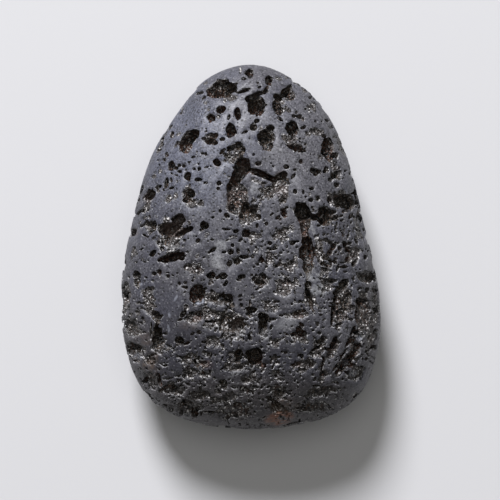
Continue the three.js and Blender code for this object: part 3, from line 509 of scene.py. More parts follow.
# Torn places, where a shallow layer of foam lies open, in the same rows.
TORN = (
    (-2.2, 18.2, 1.4, 0.8, 20), (-11.2, 12.6, 1.9, 0.9, 60), (-4.7, 13, 1.6, 1.3),
    (-2, 11.2, 2.8, 2.1, 45), (2, 6.7, 2, 1.6), (3.6, 7.2, 3.4, 2, 100), (0.9, 5.6, 1.5, 1.1, 20),
    (0.4, 4.3, 2.4, 1.6, 50), (1, 7.8, 1.6, 0.6, -20), (-0.5, 3.2, 1.8, 0.9, 20),
    (-7.5, 6, 3.2, 1.3, 100), (-6.3, 5.2, 1.7, 1.1, 30), (-13.4, 5, 3, 1.5, 70),
    (3.5, 17.1, 3, 1.7, 110), (4.6, 18.9, 2.6, 1.3, 45), (2, 13.3, 2.9, 1.6, 70),
    (5.5, 12.6, 3.6, 1.7, -35), (10.4, 9.3, 2.5, 1.2, 100), (11.5, 12.6, 3.2, 1.1, -70),
    (10, 5.6, 2, 1.5), (13.2, 6.2, 2.2, 0.9, 80), (7.6, 17.1, 1.5, 1.2, 50),
    (8.1, 14.1, 2.6, 0.8, 5), (-9.4, 1, 4.6, 3.6, 60), (-12.6, 2.5, 2.4, 1.6, -30),
    (-14.4, -0.9, 1.5, 1.2, 80), (-6.7, -2.7, 2.4, 1.4, -10), (-12.4, -6.4, 3.2, 1.5, 98),
    (-15.4, -6.6, 4, 1.4, 85), (-6.9, -8.7, 2, 1.2), (-5.2, -8.4, 1.8, 1.5, 40),
    (-3.5, -8.9, 2, 1.6, -30), (-4.7, -9.6, 1.8, 0.8), (-3.9, -6.3, 3.4, 1.2, -5),
    (-2.1, -9.2, 2.8, 2.2, 40), (-1.5, -1.5, 1.2, 0.9, 15), (0.9, -4.1, 2.3, 1.8, -30),
    (0.3, -7.8, 1.5, 1.3), (3.9, 1.5, 2.6, 1.8, 50), (4.5, -2.3, 2.8, 1.5, 10),
    (4.8, -4.2, 3.4, 2.2, 20), (4, -5.4, 2, 1.1), (2.4, -1.6, 2.4, 0.9, -60),
    (13.4, 2.5, 3.6, 1.8, 95), (8.3, -0.7, 3.2, 1, 95), (8.9, -3.1, 1.6, 0.9, 10),
    (9.2, -4.5, 1.6, 1.3, -30), (7.4, -7.1, 2.2, 1.3, -50), (14.3, -3.7, 2.4, 1.2),
    (10.9, -7.2, 5.8, 1.9, 82), (13.8, -8, 5, 1.7, 92), (15.4, -8, 6, 1.2, 88),
    (2.3, -7.3, 2.4, 1.4), (5.6, -8.3, 3.4, 0.9, 8), (-14.4, -13, 2.8, 2, -30),
    (-12.2, -13.9, 1.8, 1.2), (-10.7, -12.3, 3, 1.3, 10), (-7.6, -13.6, 1.9, 1.2, 30),
    (-6.2, -14, 2, 1.5, -40), (-5.3, -13.1, 1.5, 0.9, 10), (-7.3, -15.3, 1.6, 1),
    (-5.4, -15.5, 1.8, 1.1), (-12.2, -16.6, 3.2, 2, -20), (-9.6, -17.5, 3.4, 1.8),
    (-6.6, -18.4, 2.8, 1.4, 15), (-3.5, -17.1, 1.9, 1.3, 60), (-2.6, -18.6, 1.9, 1.2, 20),
    (-4.3, -18.8, 1.3, 1), (-1.9, -13.2, 1.9, 1.6, 60), (-1, -14.6, 2.1, 1.2, 20),
    (-2.8, -14.6, 1.6, 1.2, 80), (0.5, -15.7, 2.4, 1.9, 90), (-1.9, -10.5, 2.8, 1.6, 20),
    (-8, -20, 5, 1.8, 8), (-2, -20.2, 5, 2), (3, -19.7, 4, 1.5, -20), (8, -19.8, 6, 1.6, -6),
    (6.4, -14.4, 3, 1.5, 15), (6.2, -10.7, 2.4, 1.7, -45), (4.9, -11.4, 1.8, 1.1),
    (8.4, -12.3, 3, 1.4, 55), (10.2, -12.3, 2.8, 1.2, 65), (8.9, -15.1, 3, 1.2, 85),
    (12.2, -13.3, 5.4, 1.6, 52), (12.9, -15.5, 2.2, 1.5, 30), (15, -11.2, 4, 1.5, 80),
    (8.5, -17.8, 5, 1, 12), (3.4, -17.8, 3, 1.6), (0, -17.6, 2.6, 1.6),
    (-14.6, -9.8, 2.6, 1.6, 100), (3, -11.6, 1.6, 1.2, -30), (3.2, -15.6, 2.4, 1.3, -40),
    (-4.3, -11.6, 2, 1.4), (0.5, 1, 1.6, 1.1, 20), (-2.2, 0.9, 1.6, 1), (12.6, -0.8, 2.6, 1.6, 60),
)

# The long hollows that they surround.
TRENCHES = (
    (7.1, -6.2, 3, 0.7, -72), (6.9, -2.4, 2.8, 1.2, 88), (-1.1, 8.8, 3.4, 1.2, 58),
    (1.5, 8.7, 3.6, 0.8, -20), (6.5, 2.3, 2.6, 1.1, 90), (6.8, -0.6, 4, 1.6, 96),
    (6.3, 4.1, 2.5, 2.1, 90), (7.6, 3.6, 1.6, 0.8), (9, 3.7, 2.4, 2, 90),
    (-9.7, -1.4, 3.3, 1.2, 15), (-10, 2.2, 2.6, 1.3, 20), (-8, 1.8, 2.8, 0.9, 25),
    (-8.7, 3.2, 1.7, 1.3), (11.8, 5.5, 2.6, 1.4, -15), (0.5, -13.4, 2.3, 2, 90),
    (-11.4, -11.2, 2.8, 1.2, 80), (1.5, -9.5, 2.6, 1, 82), (6.1, -10.4, 1.8, 0.9, -50),
    (-12.4, 6.3, 1.9, 1.1, 40), (5.2, 14.5, 1.9, 1.6, 90), (9.6, 11.7, 2.9, 1.6, 98),
    (-3.4, 19.3, 3.4, 1.9, 20), (0.9, 17.1, 2.5, 2.3, 90), (-7.5, 13.1, 2.9, 1.5, 50),
    (12.1, -13.9, 4.6, 0.8, 50), (10.2, -7.2, 5, 0.6, 82),
)

# Larger bubbles that can't be seen from above. The underside's are
# (x, y, long, wide, turn) seen from above; the flanks' are (bearing, height, long, wide, turn).
BELLY = (
    (-3, 12.5, 2.6, 1.7, 40), (6.2, 9, 2, 1.5, 120), (-8.8, 5.2, 2.2, 1.4, 75),
    (7.6, -9.2, 2.5, 1.9, 20), (-6.6, -11.8, 2, 1.8), (2.2, -15.4, 2.8, 1.4, 160),
)

FLANKS = (
    (20, 7.6, 1.9, 1.4, 20), (64, 6, 1.8, 1.3, 100), (110, 6.6, 2, 1.4), (163, 6.2, 2.2, 1.4, 150),
    (212, 6, 1.9, 1.5), (251, 5.6, 2.3, 1.5, 170), (300, 6.4, 2, 1.4, 20), (338, 6.6, 2.4, 1.4, 10),
    (153, 7.8, 1.9, 1.2, 70), (188, 7.4, 2, 1, 100), (201, 7.7, 2.4, 1.2, 80),
    (27, 7.8, 2, 1.2, 80), (346, 8, 2.2, 1.1, 90), (334, 7.7, 2.6, 1.3, 60),
    (236, 7.2, 2.2, 1.3, 120), (306, 7.2, 2.4, 1.2), (263, 7.4, 2.4, 1.3, 10),
    (283, 7.2, 2.6, 1.3, 170), (14, 7.2, 1.6, 1, 90), (75, 7.4, 1.6, 1, 90),
    (128, 7.6, 1.8, 0.9, 60),
)

# Hollows pressed into the skin itself: (bearing, height, radius, bite).
DENTS = (
    (118, 9.5, 5, 0.5), (172, 8.5, 6, 0.3), (12, 8, 4.5, 0.32), (286, 8, 7, 0.35),
    (232, 8.5, 6, 0.3), (50, 9, 6, 0.25), (325, 4.5, 6, 0.3), (150, 4, 6, 0.3), (255, 3, 6, 0.3),
    (85, 4, 5, 0.25),
)

# Patches of fine pitting between the larger bubbles: (x, y, radius, pits to the square mm).
PATCHES = (
    (2.4, 6.4, 2.3, 3.2), (3.8, 0.8, 1.6, 3), (3.6, -1.8, 2.2, 2.4), (1.2, -4.1, 1.4, 3),
    (4.2, -5, 1.6, 3.2), (-4.6, -8.2, 2.2, 2.6), (-2.2, -9.6, 2.2, 2.4), (-12.4, -6.6, 1.5, 3),
    (-15.2, -8, 2.4, 2.2), (-9.4, 0.6, 2.2, 2.6), (-12.8, 4.4, 1.8, 2), (-1.2, 4, 1.8, 2.4),
    (5.5, 12.6, 1.3, 3), (11.2, 10.4, 2.2, 2.2), (11, 4.4, 2.4, 2.4), (12.6, 0.4, 2.6, 2.2),
    (9.2, -2.8, 1.8, 2.2), (7.8, -4.8, 1.6, 3), (11, -6.8, 2.6, 3), (13.8, -9, 3, 2.6),
    (12, -13, 3.2, 2.6), (8, -13, 2.2, 2), (5.6, -8.2, 1.8, 2.2), (-10.6, -12.4, 2, 2.4),
    (-6.4, -13.6, 2.4, 2.2), (-1.2, -15.2, 3.4, 2.4), (-13, -13, 3, 1.8), (-8, -18.4, 5, 2.4),
    (0, -19.6, 4.6, 2.4), (8, -18.8, 5, 2.2), (6.8, 18.8, 1.8, 1.8), (0.4, -8.4, 1.6, 1.6),
    (1, -9.5, 3.2, 2.4), (-1, -12.2, 3, 2.6), (4.4, -12.6, 2.8, 2.4), (3.2, -16.2, 3, 2.8),
    (-8.6, -14.8, 3, 2.4), (-6, -4.6, 2, 1.6), (1.4, -1.4, 2.2, 2), (0.2, 2.2, 2, 1.8),
    (7.8, -10.4, 2, 1.8), (10.4, 1, 2.4, 2.4), (14, -4.6, 2.2, 2.6),
)


def resample(values, places):
    """Cubic B-spline values of a lattice at places[k], given in lattice steps along axis k."""
    for k, place in enumerate(places):
        whole = np.floor(place).astype(int)
        t = place - whole
        weights = (
            (1 - t) ** 3 / 6,
            (3 * t**3 - 6 * t**2 + 4) / 6,
            (-3 * t**3 + 3 * t**2 + 3 * t + 1) / 6,
            t**3 / 6,
        )
        spread = [1, 1, 1]
        spread[k] = len(place)
        total = None
        for offset, weight in zip((-1, 0, 1, 2), weights):
            index = np.clip(whole + offset, 0, values.shape[k] - 1)
            term = np.take(values, index, axis=k)
            term *= weight.astype(np.float32).reshape(spread)
            if total is None:
                total = term
            else:
                total += term
        values = total
    return values


def blur(values, sigma):
    """Gaussian blur of a 3-D array, with sigma in array steps."""
    reach = int(math.ceil(3 * sigma))
    offsets = np.arange(-reach, reach + 1)
    kernel = np.exp(-0.5 * (offsets / sigma) ** 2)
    kernel /= kernel.sum()
    for k in range(3):
        count = values.shape[k]
        total = np.zeros_like(values)
        for offset, weight in zip(offsets, kernel):
            index = np.clip(np.arange(count) + offset, 0, count - 1)
            total += np.take(values, index, axis=k) * np.float32(weight)
        values = total
    return values


def smooth_max(a, b, ease):
    """The larger of two fields, blended where they differ by less than ease."""
    share = np.clip(0.5 + 0.5 * (a - b) / ease, 0, 1)
    return b + (a - b) * share + ease * share * (1 - share)


class Grid:
    """A block of evenly spaced points, in millimetres."""

    def __init__(self, low, high, step):
        self.low = low
        self.step = step
        self.shape = tuple(int(n) for n in np.ceil((high - low) / step) + 1)

    def coarser(self, factor, padding):
        """A grid with wider steps over the same block, and padding steps past each of its sides."""
        step = self.step * factor
        size = step * np.ceil(np.array(self.shape) / factor)
        return Grid(self.low - padding * step, self.low + size + padding * step, step)

    def axis(self, k):
        """The points' places along one axis."""
        return (self.low[k] + self.step * np.arange(self.shape[k])).astype(np.float32)

    def points(self):
        """Every point, one to a row."""
        mesh = np.meshgrid(*[self.axis(k) for k in range(3)], indexing="ij")
        return np.stack([m.ravel() for m in mesh], axis=1)

    def noise(self, wavelength, rng):
        """Smooth random values, nearly all from -1 to 1."""
        cells = [int(n * self.step / wavelength) + 4 for n in self.shape]
        lattice = rng.uniform(-NOISE_SPREAD, NOISE_SPREAD, cells).astype(np.float32)
        places = [1 + np.arange(n) * self.step / wavelength for n in self.shape]
        return resample(lattice, places)

    def sample(self, values, points):
        """Values at any points inside the block, between the eight grid points around each."""
        place = (points - self.low) / self.step
        place = np.clip(place, 0, np.array(self.shape) - 1.001)
        whole = place.astype(int)
        part = place - whole
        total = np.zeros(len(points))
        for corner in range(8):
            shift = np.array([corner & 1, corner >> 1 & 1, corner >> 2 & 1])
            weight = np.prod(np.where(shift == 1, part, 1 - part), axis=1)
            i, j, k = (whole + shift).T
            total += weight * values[i, j, k]
        return total

    def normals(self, values, points):
        """Outward unit normals of a distance field at the points."""
        reach = 2 * self.step
        slope = np.stack([
            self.sample(values, points + reach * axis) - self.sample(values, points - reach * axis)
            for axis in np.eye(3)
        ], axis=1)
        return slope / np.linalg.norm(slope, axis=1, keepdims=True)


def hull_planes(node):
    """Outward normals and offsets, in millimetres, of the node's convex hull."""
    mesh = bmesh.new()
    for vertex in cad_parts[node].data.vertices:
        mesh.verts.new(vertex.co / MM)
    bmesh.ops.convex_hull(mesh, input=mesh.verts)
    middle = sum((v.co for v in mesh.verts), Vector()) / len(mesh.verts)
    planes = set()
    for face in mesh.faces:
        if face.calc_area() < SLIVER:
            continue
        face.normal_update()
        normal = face.normal.copy()
        if normal.dot(face.verts[0].co - middle) < 0:
            normal.negate()
        offset = normal.dot(face.verts[0].co)
        planes.add(tuple(round(v, 4) for v in (*normal, offset)))
    mesh.free()
    table = np.array(sorted(planes), dtype=np.float32)
    return table[:, :3], table[:, 3]


def skin_field(grid, rng):
    """Distance to the worn skin as it was before any bubble was opened, negative inside."""
    coarse = grid.coarser(SKIN_STEPS, SKIN_PADDING)
    normals, offsets = hull_planes(NODE)
    points = coarse.points().astype(np.float32)
    distance = np.empty(len(points), np.float32)
    for start in range(0, len(points), POINTS_AT_ONCE):
        part = slice(start, start + POINTS_AT_ONCE)
        distance[part] = (points[part] @ normals.T - offsets).max(axis=1)
    distance = blur(distance.reshape(coarse.shape), SKIN_ROUNDING / coarse.step)
    lift = np.clip(coarse.axis(2) / SWELL_FULL, 0, 1)[None, None, :]
    for wavelength, height in SKIN_SWELL:
        distance += height * lift * np.clip(0.5 + 0.5 * coarse.noise(wavelength, rng), 0, 1.2)
    x, y, z = [coarse.axis(k) for k in range(3)]
    half_x, half_y = -grid.low[0], -grid.low[1]
    away = (x[:, None] / half_x) ** 2 + (y[None, :] / half_y) ** 2
    upper = np.clip((z - CROWN_START) / CROWN_REACH, 0, 1)
    distance += CROWN * away[:, :, None] * upper
    places = [SKIN_PADDING + np.arange(n) / SKIN_STEPS for n in grid.shape]
    return resample(distance, places)


def carve(grid, cave, centre, axes, ragged, roughness):
    """Opens one ellipsoidal bubble. axes holds its three half-axes as columns."""
    reach = np.sqrt((axes**2).sum(axis=1)) + ROUGH_REACH * ragged + 2 * grid.step
    low = np.maximum(((centre - reach - grid.low) / grid.step).astype(int), 0)
    high = np.minimum(((centre + reach - grid.low) / grid.step).astype(int) + 2, grid.shape)
    if np.any(high <= low):
        return
    block = tuple(slice(a, b) for a, b in zip(low, high))
    steps = np.ogrid[block]
    offset = [(grid.low[k] - centre[k] + grid.step * steps[k]).astype(np.float32) for k in range(3)]
    to_unit = np.linalg.inv(axes).astype(np.float32)
    unit = [sum(to_unit[row, k] * offset[k] for k in range(3)) for row in range(3)]
    size = np.sqrt(unit[0] ** 2 + unit[1] ** 2 + unit[2] ** 2) + TINY
    slope = [sum(to_unit[row, k] * unit[row] for row in range(3)) for k in range(3)]
    steepness = np.sqrt(slope[0] ** 2 + slope[1] ** 2 + slope[2] ** 2) / size + TINY
    distance = (size - 1) / steepness
    if ragged:
        distance += ragged * roughness[block]
    np.minimum(cave[block], distance, out=cave[block])


def half_axes(normal, long, wide, deep, turn, plan):
    """Half-axes of a bubble opened in a skin with this normal.

    In plan, long and wide are what is seen from straight above; otherwise they lie in the skin.
    """
    angle = math.radians(turn)
    directions = ((math.cos(angle), math.sin(angle)), (-math.sin(angle), math.cos(angle)))
    columns = []
    if plan:
        steep = math.copysign(max(abs(normal[2]), STEEPEST), normal[2])
        for (across, along), half in zip(directions, (long / 2, wide / 2)):
            rise = -(normal[0] * across + normal[1] * along) / steep
            columns.append(half * np.array([across, along, rise]))
    else:
        level = np.cross(normal, UPWARDS)
        level /= np.linalg.norm(level)
        upright = np.cross(level, normal)
        for (across, along), half in zip(directions, (long / 2, wide / 2)):
            columns.append(half * (across * level + along * upright))
    columns.append(deep * normal)
    return np.stack(columns, axis=1)


class Stone:
    """The stone's two fields: its skin, and the cave of all the bubbles opened in it."""

    def __init__(self):
        self.rng = np.random.default_rng(SEED)
        low, high = [np.array(corner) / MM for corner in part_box(NODE)]
        margin = MARGIN_VOXELS * VOXEL
        self.grid = Grid(low - margin, high + margin, VOXEL)
        self.skin = skin_field(self.grid, self.rng)
        self.cave = np.ones(self.grid.shape, np.float32)
        self.roughness = np.zeros(self.grid.shape, np.float32)
        for wavelength, share in ROUGHNESS:
            self.roughness += share * self.grid.noise(wavelength, self.rng)
        for bearing, height, radius, bite in DENTS:
            self.dent(self.toward(bearing, height), radius, bite)
        solid = self.skin < 0
        top = solid.shape[2] - 1 - solid[:, :, ::-1].argmax(axis=2)
        self.crest = self.grid.low[2] + VOXEL * top
        self.belly = self.grid.low[2] + VOXEL * solid.argmax(axis=2)
        self.columns = solid.any(axis=2)

    def dent(self, point, radius, bite):
        """Presses a smooth hollow of that radius into the skin."""
        normal = self.grid.normals(self.skin, point[None])[0]
        offset = point + (radius - bite) * normal
        x, y, z = [self.grid.axis(k) - offset[k] for k in range(3)]
        near = [np.abs(v) < radius + DENT_EASE for v in (x, y, z)]
        block = tuple(slice(v.argmax(), len(v) - v[::-1].argmax()) for v in near)
        x, y, z = np.ix_(x[block[0]], y[block[1]], z[block[2]])
        ball = radius - np.sqrt(x**2 + y**2 + z**2)
        self.skin[block] = smooth_max(self.skin[block], ball, DENT_EASE)

    def at(self, x, y, below=False):
        """The skin point over or under a place in plan, pulled in if the place is off the stone."""
        heights = self.belly if below else self.crest
        for pull in PULLS:
            place = (np.array([x, y]) * pull - self.grid.low[:2]) / VOXEL
            i, j = np.clip(np.round(place).astype(int), 0, np.array(self.columns.shape) - 1)
            if self.columns[i, j]:
                return self.settle(np.array([x * pull, y * pull, heights[i, j]]))
        raise ValueError(f"no stone at {x}, {y}")

    def settle(self, point):
        """Moves a point near the skin onto it."""
        normal = self.grid.normals(self.skin, point[None])[0]
        for _ in range(3):
            point = point - self.grid.sample(self.skin, point[None])[0] * normal
        return point

    def toward(self, bearing, height):
        """The skin point met from the middle, at a bearing from +X and at a height."""
        angle = math.radians(bearing)
        along = np.arange(0, RAY_LENGTH, RAY_STEP)
        heights = np.full(len(along), height)
        ray = np.stack([along * math.cos(angle), along * math.sin(angle), heights], axis=1)
        inside = self.grid.sample(self.skin, ray) < 0
        return self.settle(ray[np.nonzero(inside)[0][-1]])

    def bubble(self, point, kind, long, wide, turn=0, plan=True):
        """Opens one bubble at a skin point, and the blisters in its wall."""
        normal = self.grid.normals(self.skin, point[None])[0]
        widen = 1 / math.sqrt(1 - kind.sunk**2)
        deep = kind.depth * math.sqrt(long * wide) ** kind.power
        axes = half_axes(normal, long * widen, wide * widen, deep, turn, plan)
        centre = point - kind.sunk * deep * normal
        ragged = kind.ragged * min(wide, ROUGH_WIDEST)
        carve(self.grid, self.cave, centre, axes, ragged, self.roughness)
        for _ in range(int(kind.blisters * long * wide)):
            self.blister(centre, axes, normal)

    def blister(self, centre, axes, normal):
        """Opens a smaller bubble in the wall of a larger one."""
        direction = self.rng.normal(size=3)
        direction /= np.linalg.norm(direction)
        place = centre + axes @ direction
        if (place - centre) @ normal > BLISTER_TOP * np.linalg.norm(axes[:, 2]):
            place = centre - axes @ direction
        radius = self.rng.uniform(*BLISTER_RADII)
        carve(self.grid, self.cave, place, radius * np.eye(3), BLISTER_RAGGED * radius, self.roughness)

    def crest_bubbles(self, table, kind, growth=1.0):
        """Opens the bubbles of a table on the crest, with their openings made longer by growth."""
        for x, y, long, wide, *turn in table:
            self.bubble(self.at(x, y), kind, growth * long, growth * wide, *turn)

    def scatter(self, tries, smallest, largest, kind):
        """Opens random bubbles on the sides that don't face up."""
        near = np.argwhere(np.abs(self.skin) < 0.5 * VOXEL)
        points = self.grid.low + VOXEL * near[self.rng.integers(0, len(near), tries)]
        facing = self.grid.normals(self.skin, points)[:, 2]
        for point in points[facing < CREST_EDGE]:
            size = smallest * (largest / smallest) ** (self.rng.random() ** SCATTER_BIAS)
            shape = self.rng.uniform(*SCATTER_SHAPES)
            turn = self.rng.uniform(0, 180)
            self.bubble(point, kind, size, size * shape, turn, plan=False)

    def pepper(self):
        """Opens the fine pits between the larger bubbles on the crest, patch by patch."""
        for x, y, radius, density in PATCHES:
            for _ in range(int(PEPPER * density * math.pi * radius**2)):
                spread = radius * math.sqrt(self.rng.random()) * self.rng.uniform(*PEPPER_SPREAD)
                bearing = self.rng.uniform(0, 2 * math.pi)
                size = PEPPER_SMALLEST * PEPPER_RANGE ** self.rng.random()
                shape = self.rng.uniform(*PEPPER_SHAPES)
                turn = self.rng.uniform(0, 180)
                point = self.at(x + spread * math.cos(bearing), y + spread * math.sin(bearing))
                self.bubble(point, PIN, size, size * shape, turn)

    def field(self):
        """The carved stone's field, with the rims of the bubbles rounded by wear."""
        return smooth_max(self.skin, -self.cave, RIM_WEAR)


def carved_stone():
    """The stone with every bubble opened: those of the tables, then the random ones."""
    stone = Stone()
    stone.crest_bubbles(TORN, TEAR)
    stone.crest_bubbles(TRENCHES, TRENCH)
    stone.crest_bubbles(SHALLOW, DISH)
    stone.crest_bubbles(DEEP, HOLLOW)
    for size, places in PINS.items():
        stone.crest_bubbles([(*place, *size) for place in places], PIN, PIN_GROWTH)
    stone.crest_bubbles(ODD_PINS, PIN, PIN_GROWTH)
    for x, y, *size in BELLY:
        stone.bubble(stone.at(x, y, below=True), HOLLOW, *size)
    for bearing, height, *size in FLANKS:
        stone.bubble(stone.toward(bearing, height), HOLLOW, *size, plan=False)
    stone.pepper()
    for tries, smallest, largest, kind in SCATTERED:
        stone.scatter(tries, smallest, largest, kind)
    return stone


def surface_mesh(name, grid, field):
    """The surface where the field is zero: its largest connected piece, as a mesh in metres."""
    volume = openvdb.FloatGrid(1.0)
    volume.copyFromArray(field)
    volume.transform = openvdb.createLinearTransform(VOXEL)
    points, quads = volume.convertToQuads(0.0)
    points = points + grid.low
    quads = quads[largest_piece(len(points), quads)]
    used, quads = np.unique(quads, return_inverse=True)
    quads = quads.reshape(-1, 4)
    points = points[used]
    mesh = bpy.data.meshes.new(name)
    mesh.vertices.add(len(points))
    mesh.vertices.foreach_set("co", (points * MM).astype(np.float32).ravel())
    mesh.loops.add(quads.size)
    mesh.loops.foreach_set("vertex_index", quads.astype(np.int32).ravel())
    mesh.polygons.add(len(quads))
    mesh.polygons.foreach_set("loop_start", np.arange(0, quads.size, 4, dtype=np.int32))
    mesh.update(calc_edges=True)
    return mesh


def largest_piece(count, quads):
    """Which faces belong to the connected piece with the most vertices."""
    label = np.arange(count)
    ends = np.concatenate([quads[:, [0, 1]], quads[:, [1, 2]], quads[:, [2, 3]]])
    while True:
        least = np.minimum(label[ends[:, 0]], label[ends[:, 1]])
        before = label.copy()
        np.minimum.at(label, label[ends[:, 0]], least)
        np.minimum.at(label, label[ends[:, 1]], least)
        label = label[label]
        label = label[label]
        if np.array_equal(before, label):
            break
    biggest = np.bincount(label).argmax()
    return label[quads[:, 0]] == biggest


def thinned(mesh, triangles):
    """The mesh with its edges collapsed down to this many triangles."""
    stand_in = bpy.data.objects.new("stand_in", mesh)
    bpy.context.scene.collection.objects.link(stand_in)
    decimate = stand_in.modifiers.new("thin", "DECIMATE")
    decimate.ratio = triangles / (2 * len(mesh.polygons))
    decimate.use_collapse_triangulate = True
    collapsed = stand_in.evaluated_get(bpy.context.evaluated_depsgraph_get())
    result = bpy.data.meshes.new_from_object(collapsed)
    bpy.data.objects.remove(stand_in)
    bpy.data.meshes.remove(mesh)
    return result


def attribute(mesh, name, values):
    """Stores one number a vertex, which the material reads by name."""
    layer = mesh.attributes.new(name, "FLOAT", "POINT")
    layer.data.foreach_set("value", values.astype(np.float32))


def fitted(points):
    """The points stretched a little, so that the rounded stone fills its CAD box again."""
    low, high = [np.array(corner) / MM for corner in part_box(NODE)]
    low[:2] += FIT_MARGIN
    high -= FIT_MARGIN
    share = (points - points.min(axis=0)) / np.ptp(points, axis=0)
    return low + share * (high - low)


def make_stone():
    """The piece: its mesh, what its material reads from the mesh, and its place in the part."""
    stone = carved_stone()
    mesh = thinned(surface_mesh("dense", stone.grid, stone.field()), MESH_TRIANGLES)
    mesh.name = "lava_stone"
    points = np.empty(3 * len(mesh.vertices), np.float32)
    mesh.vertices.foreach_get("co", points)
    points = points.reshape(-1, 3) / MM
    facing = np.empty_like(points)
    mesh.vertex_normals.foreach_get("vector", facing.ravel())
    skin_facing = stone.grid.normals(stone.skin, points)

    # How deep a vertex lies, how far it tilts from the skin, and how far it turns to the key light.
    attribute(mesh, "depth", -stone.grid.sample(stone.skin, points))
    attribute(mesh, "tilt", 1 - (facing * skin_facing).sum(axis=1))
    # The last of these sets where the painted rim highlight is strongest.
    attribute(mesh, "key_facing", facing[:, 1] - skin_facing[:, 1])

    mesh.vertices.foreach_set("co", (fitted(points) * MM).astype(np.float32).ravel())
    mesh.update()
    mesh.shade_smooth()
    mesh.set_sharp_from_angle(angle=math.radians(SHARP_DEGREES))
    mesh.materials.append(basalt())
    piece = bpy.data.objects.new("lava_stone", mesh)
    bpy.context.scene.collection.objects.link(piece)
    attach(piece, "root")
    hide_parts(NODE)


class Shader:
    """A material's node tree, with one short call for each kind of node."""

    def __init__(self, name):
        self.material = bpy.data.materials.new(name)
        self.material.use_nodes = True
        self.tree = self.material.node_tree
        self.surface = self.tree.nodes["Principled BSDF"]

    def add(self, kind, inputs, **settings):
        """A node with its settings, and its inputs either linked or set."""
        node = self.tree.nodes.new(kind)
        for key, value in settings.items():
            setattr(node, key, value)
        for key, value in inputs.items():
            self.put(node.inputs[key], value)
        return node

    def put(self, socket, value):
        """Links a socket to another, or sets it to a number or colour."""
        if isinstance(value, bpy.types.NodeSocket):
            self.tree.links.new(value, socket)
        else:
            socket.default_value = value

    def number(self, name):
        """A vertex attribute of the mesh."""
        return self.add("ShaderNodeAttribute", {}, attribute_name=name).outputs["Fac"]

    def noise(self, place, size, detail=3.0, rough=0.5):
        """Noise whose lumps are about this many millimetres across."""
        inputs = {"Vector": place, "Scale": 1 / size, "Detail": detail, "Roughness": rough}
        return self.add("ShaderNodeTexNoise", inputs).outputs["Fac"]

    def cells(self, place, size):
        """Distance from the middle of cells this many millimetres across."""
        inputs = {"Vector": place, "Scale": 1 / size}
        return self.add("ShaderNodeTexVoronoi", inputs).outputs["Distance"]

    def chips(self, place, size):
        """One random number for each cell this many millimetres across."""
        inputs = {"Vector": place, "Scale": 1 / size}
        colour = self.add("ShaderNodeTexVoronoi", inputs).outputs["Color"]
        return self.add("ShaderNodeSeparateColor", {"Color": colour}).outputs["Red"]

    def step(self, value, low, high, start=0.0, end=1.0):
        """A smooth step from start to end as the value goes from low to high."""
        inputs = {"Value": value, "From Min": low, "From Max": high, "To Min": start, "To Max": end}
        node = self.add("ShaderNodeMapRange", inputs, interpolation_type="SMOOTHSTEP")
        return node.outputs["Result"]

    def sum(self, a, b):
        """One number added to another."""
        return self.add("ShaderNodeMath", {0: a, 1: b}, operation="ADD").outputs[0]

    def times(self, *factors):
        """Numbers multiplied in turn."""
        result = factors[0]
        for factor in factors[1:]:
            result = self.add("ShaderNodeMath", {0: result, 1: factor}, operation="MULTIPLY").outputs[0]
        return result

    def mix(self, share, a, b, kind="Color"):
        """a where the share is 0 and b where it is 1: two colours, or numbers if kind is Float."""
        node = self.add("ShaderNodeMix", {}, data_type=MIX_TYPES[kind])
        sockets = {socket.identifier: socket for socket in (*node.inputs, *node.outputs)}
        self.put(sockets["Factor_Float"], share)
        self.put(sockets[f"A_{kind}"], a)
        self.put(sockets[f"B_{kind}"], b)
        return sockets[f"Result_{kind}"]

    def bump(self, height, distance, **more):
        """The surface's normal, tipped by a height that stands for this many millimetres."""
        inputs = {"Height": height, "Distance": distance * MM, "Strength": 1.0, **more}
        return self.add("ShaderNodeBump", inputs).outputs["Normal"]

    def spot(self, place, x, y, long, wide, turn=0.0, soft=0.5):
        """1 inside an ellipse seen from above, at any height, and 0 outside it."""
        inputs = {
            "Vector": place,
            "Location": (x, y, 0.0),
            "Rotation": (0.0, 0.0, math.radians(turn)),
            "Scale": (long / 2, wide / 2, ANY_HEIGHT),
        }
        local = self.add("ShaderNodeMapping", inputs, vector_type="TEXTURE").outputs[0]
        reach = self.add("ShaderNodeVectorMath", {0: local}, operation="LENGTH").outputs["Value"]
        return self.step(reach, 1 - soft, 1 + soft, 1.0, 0.0)


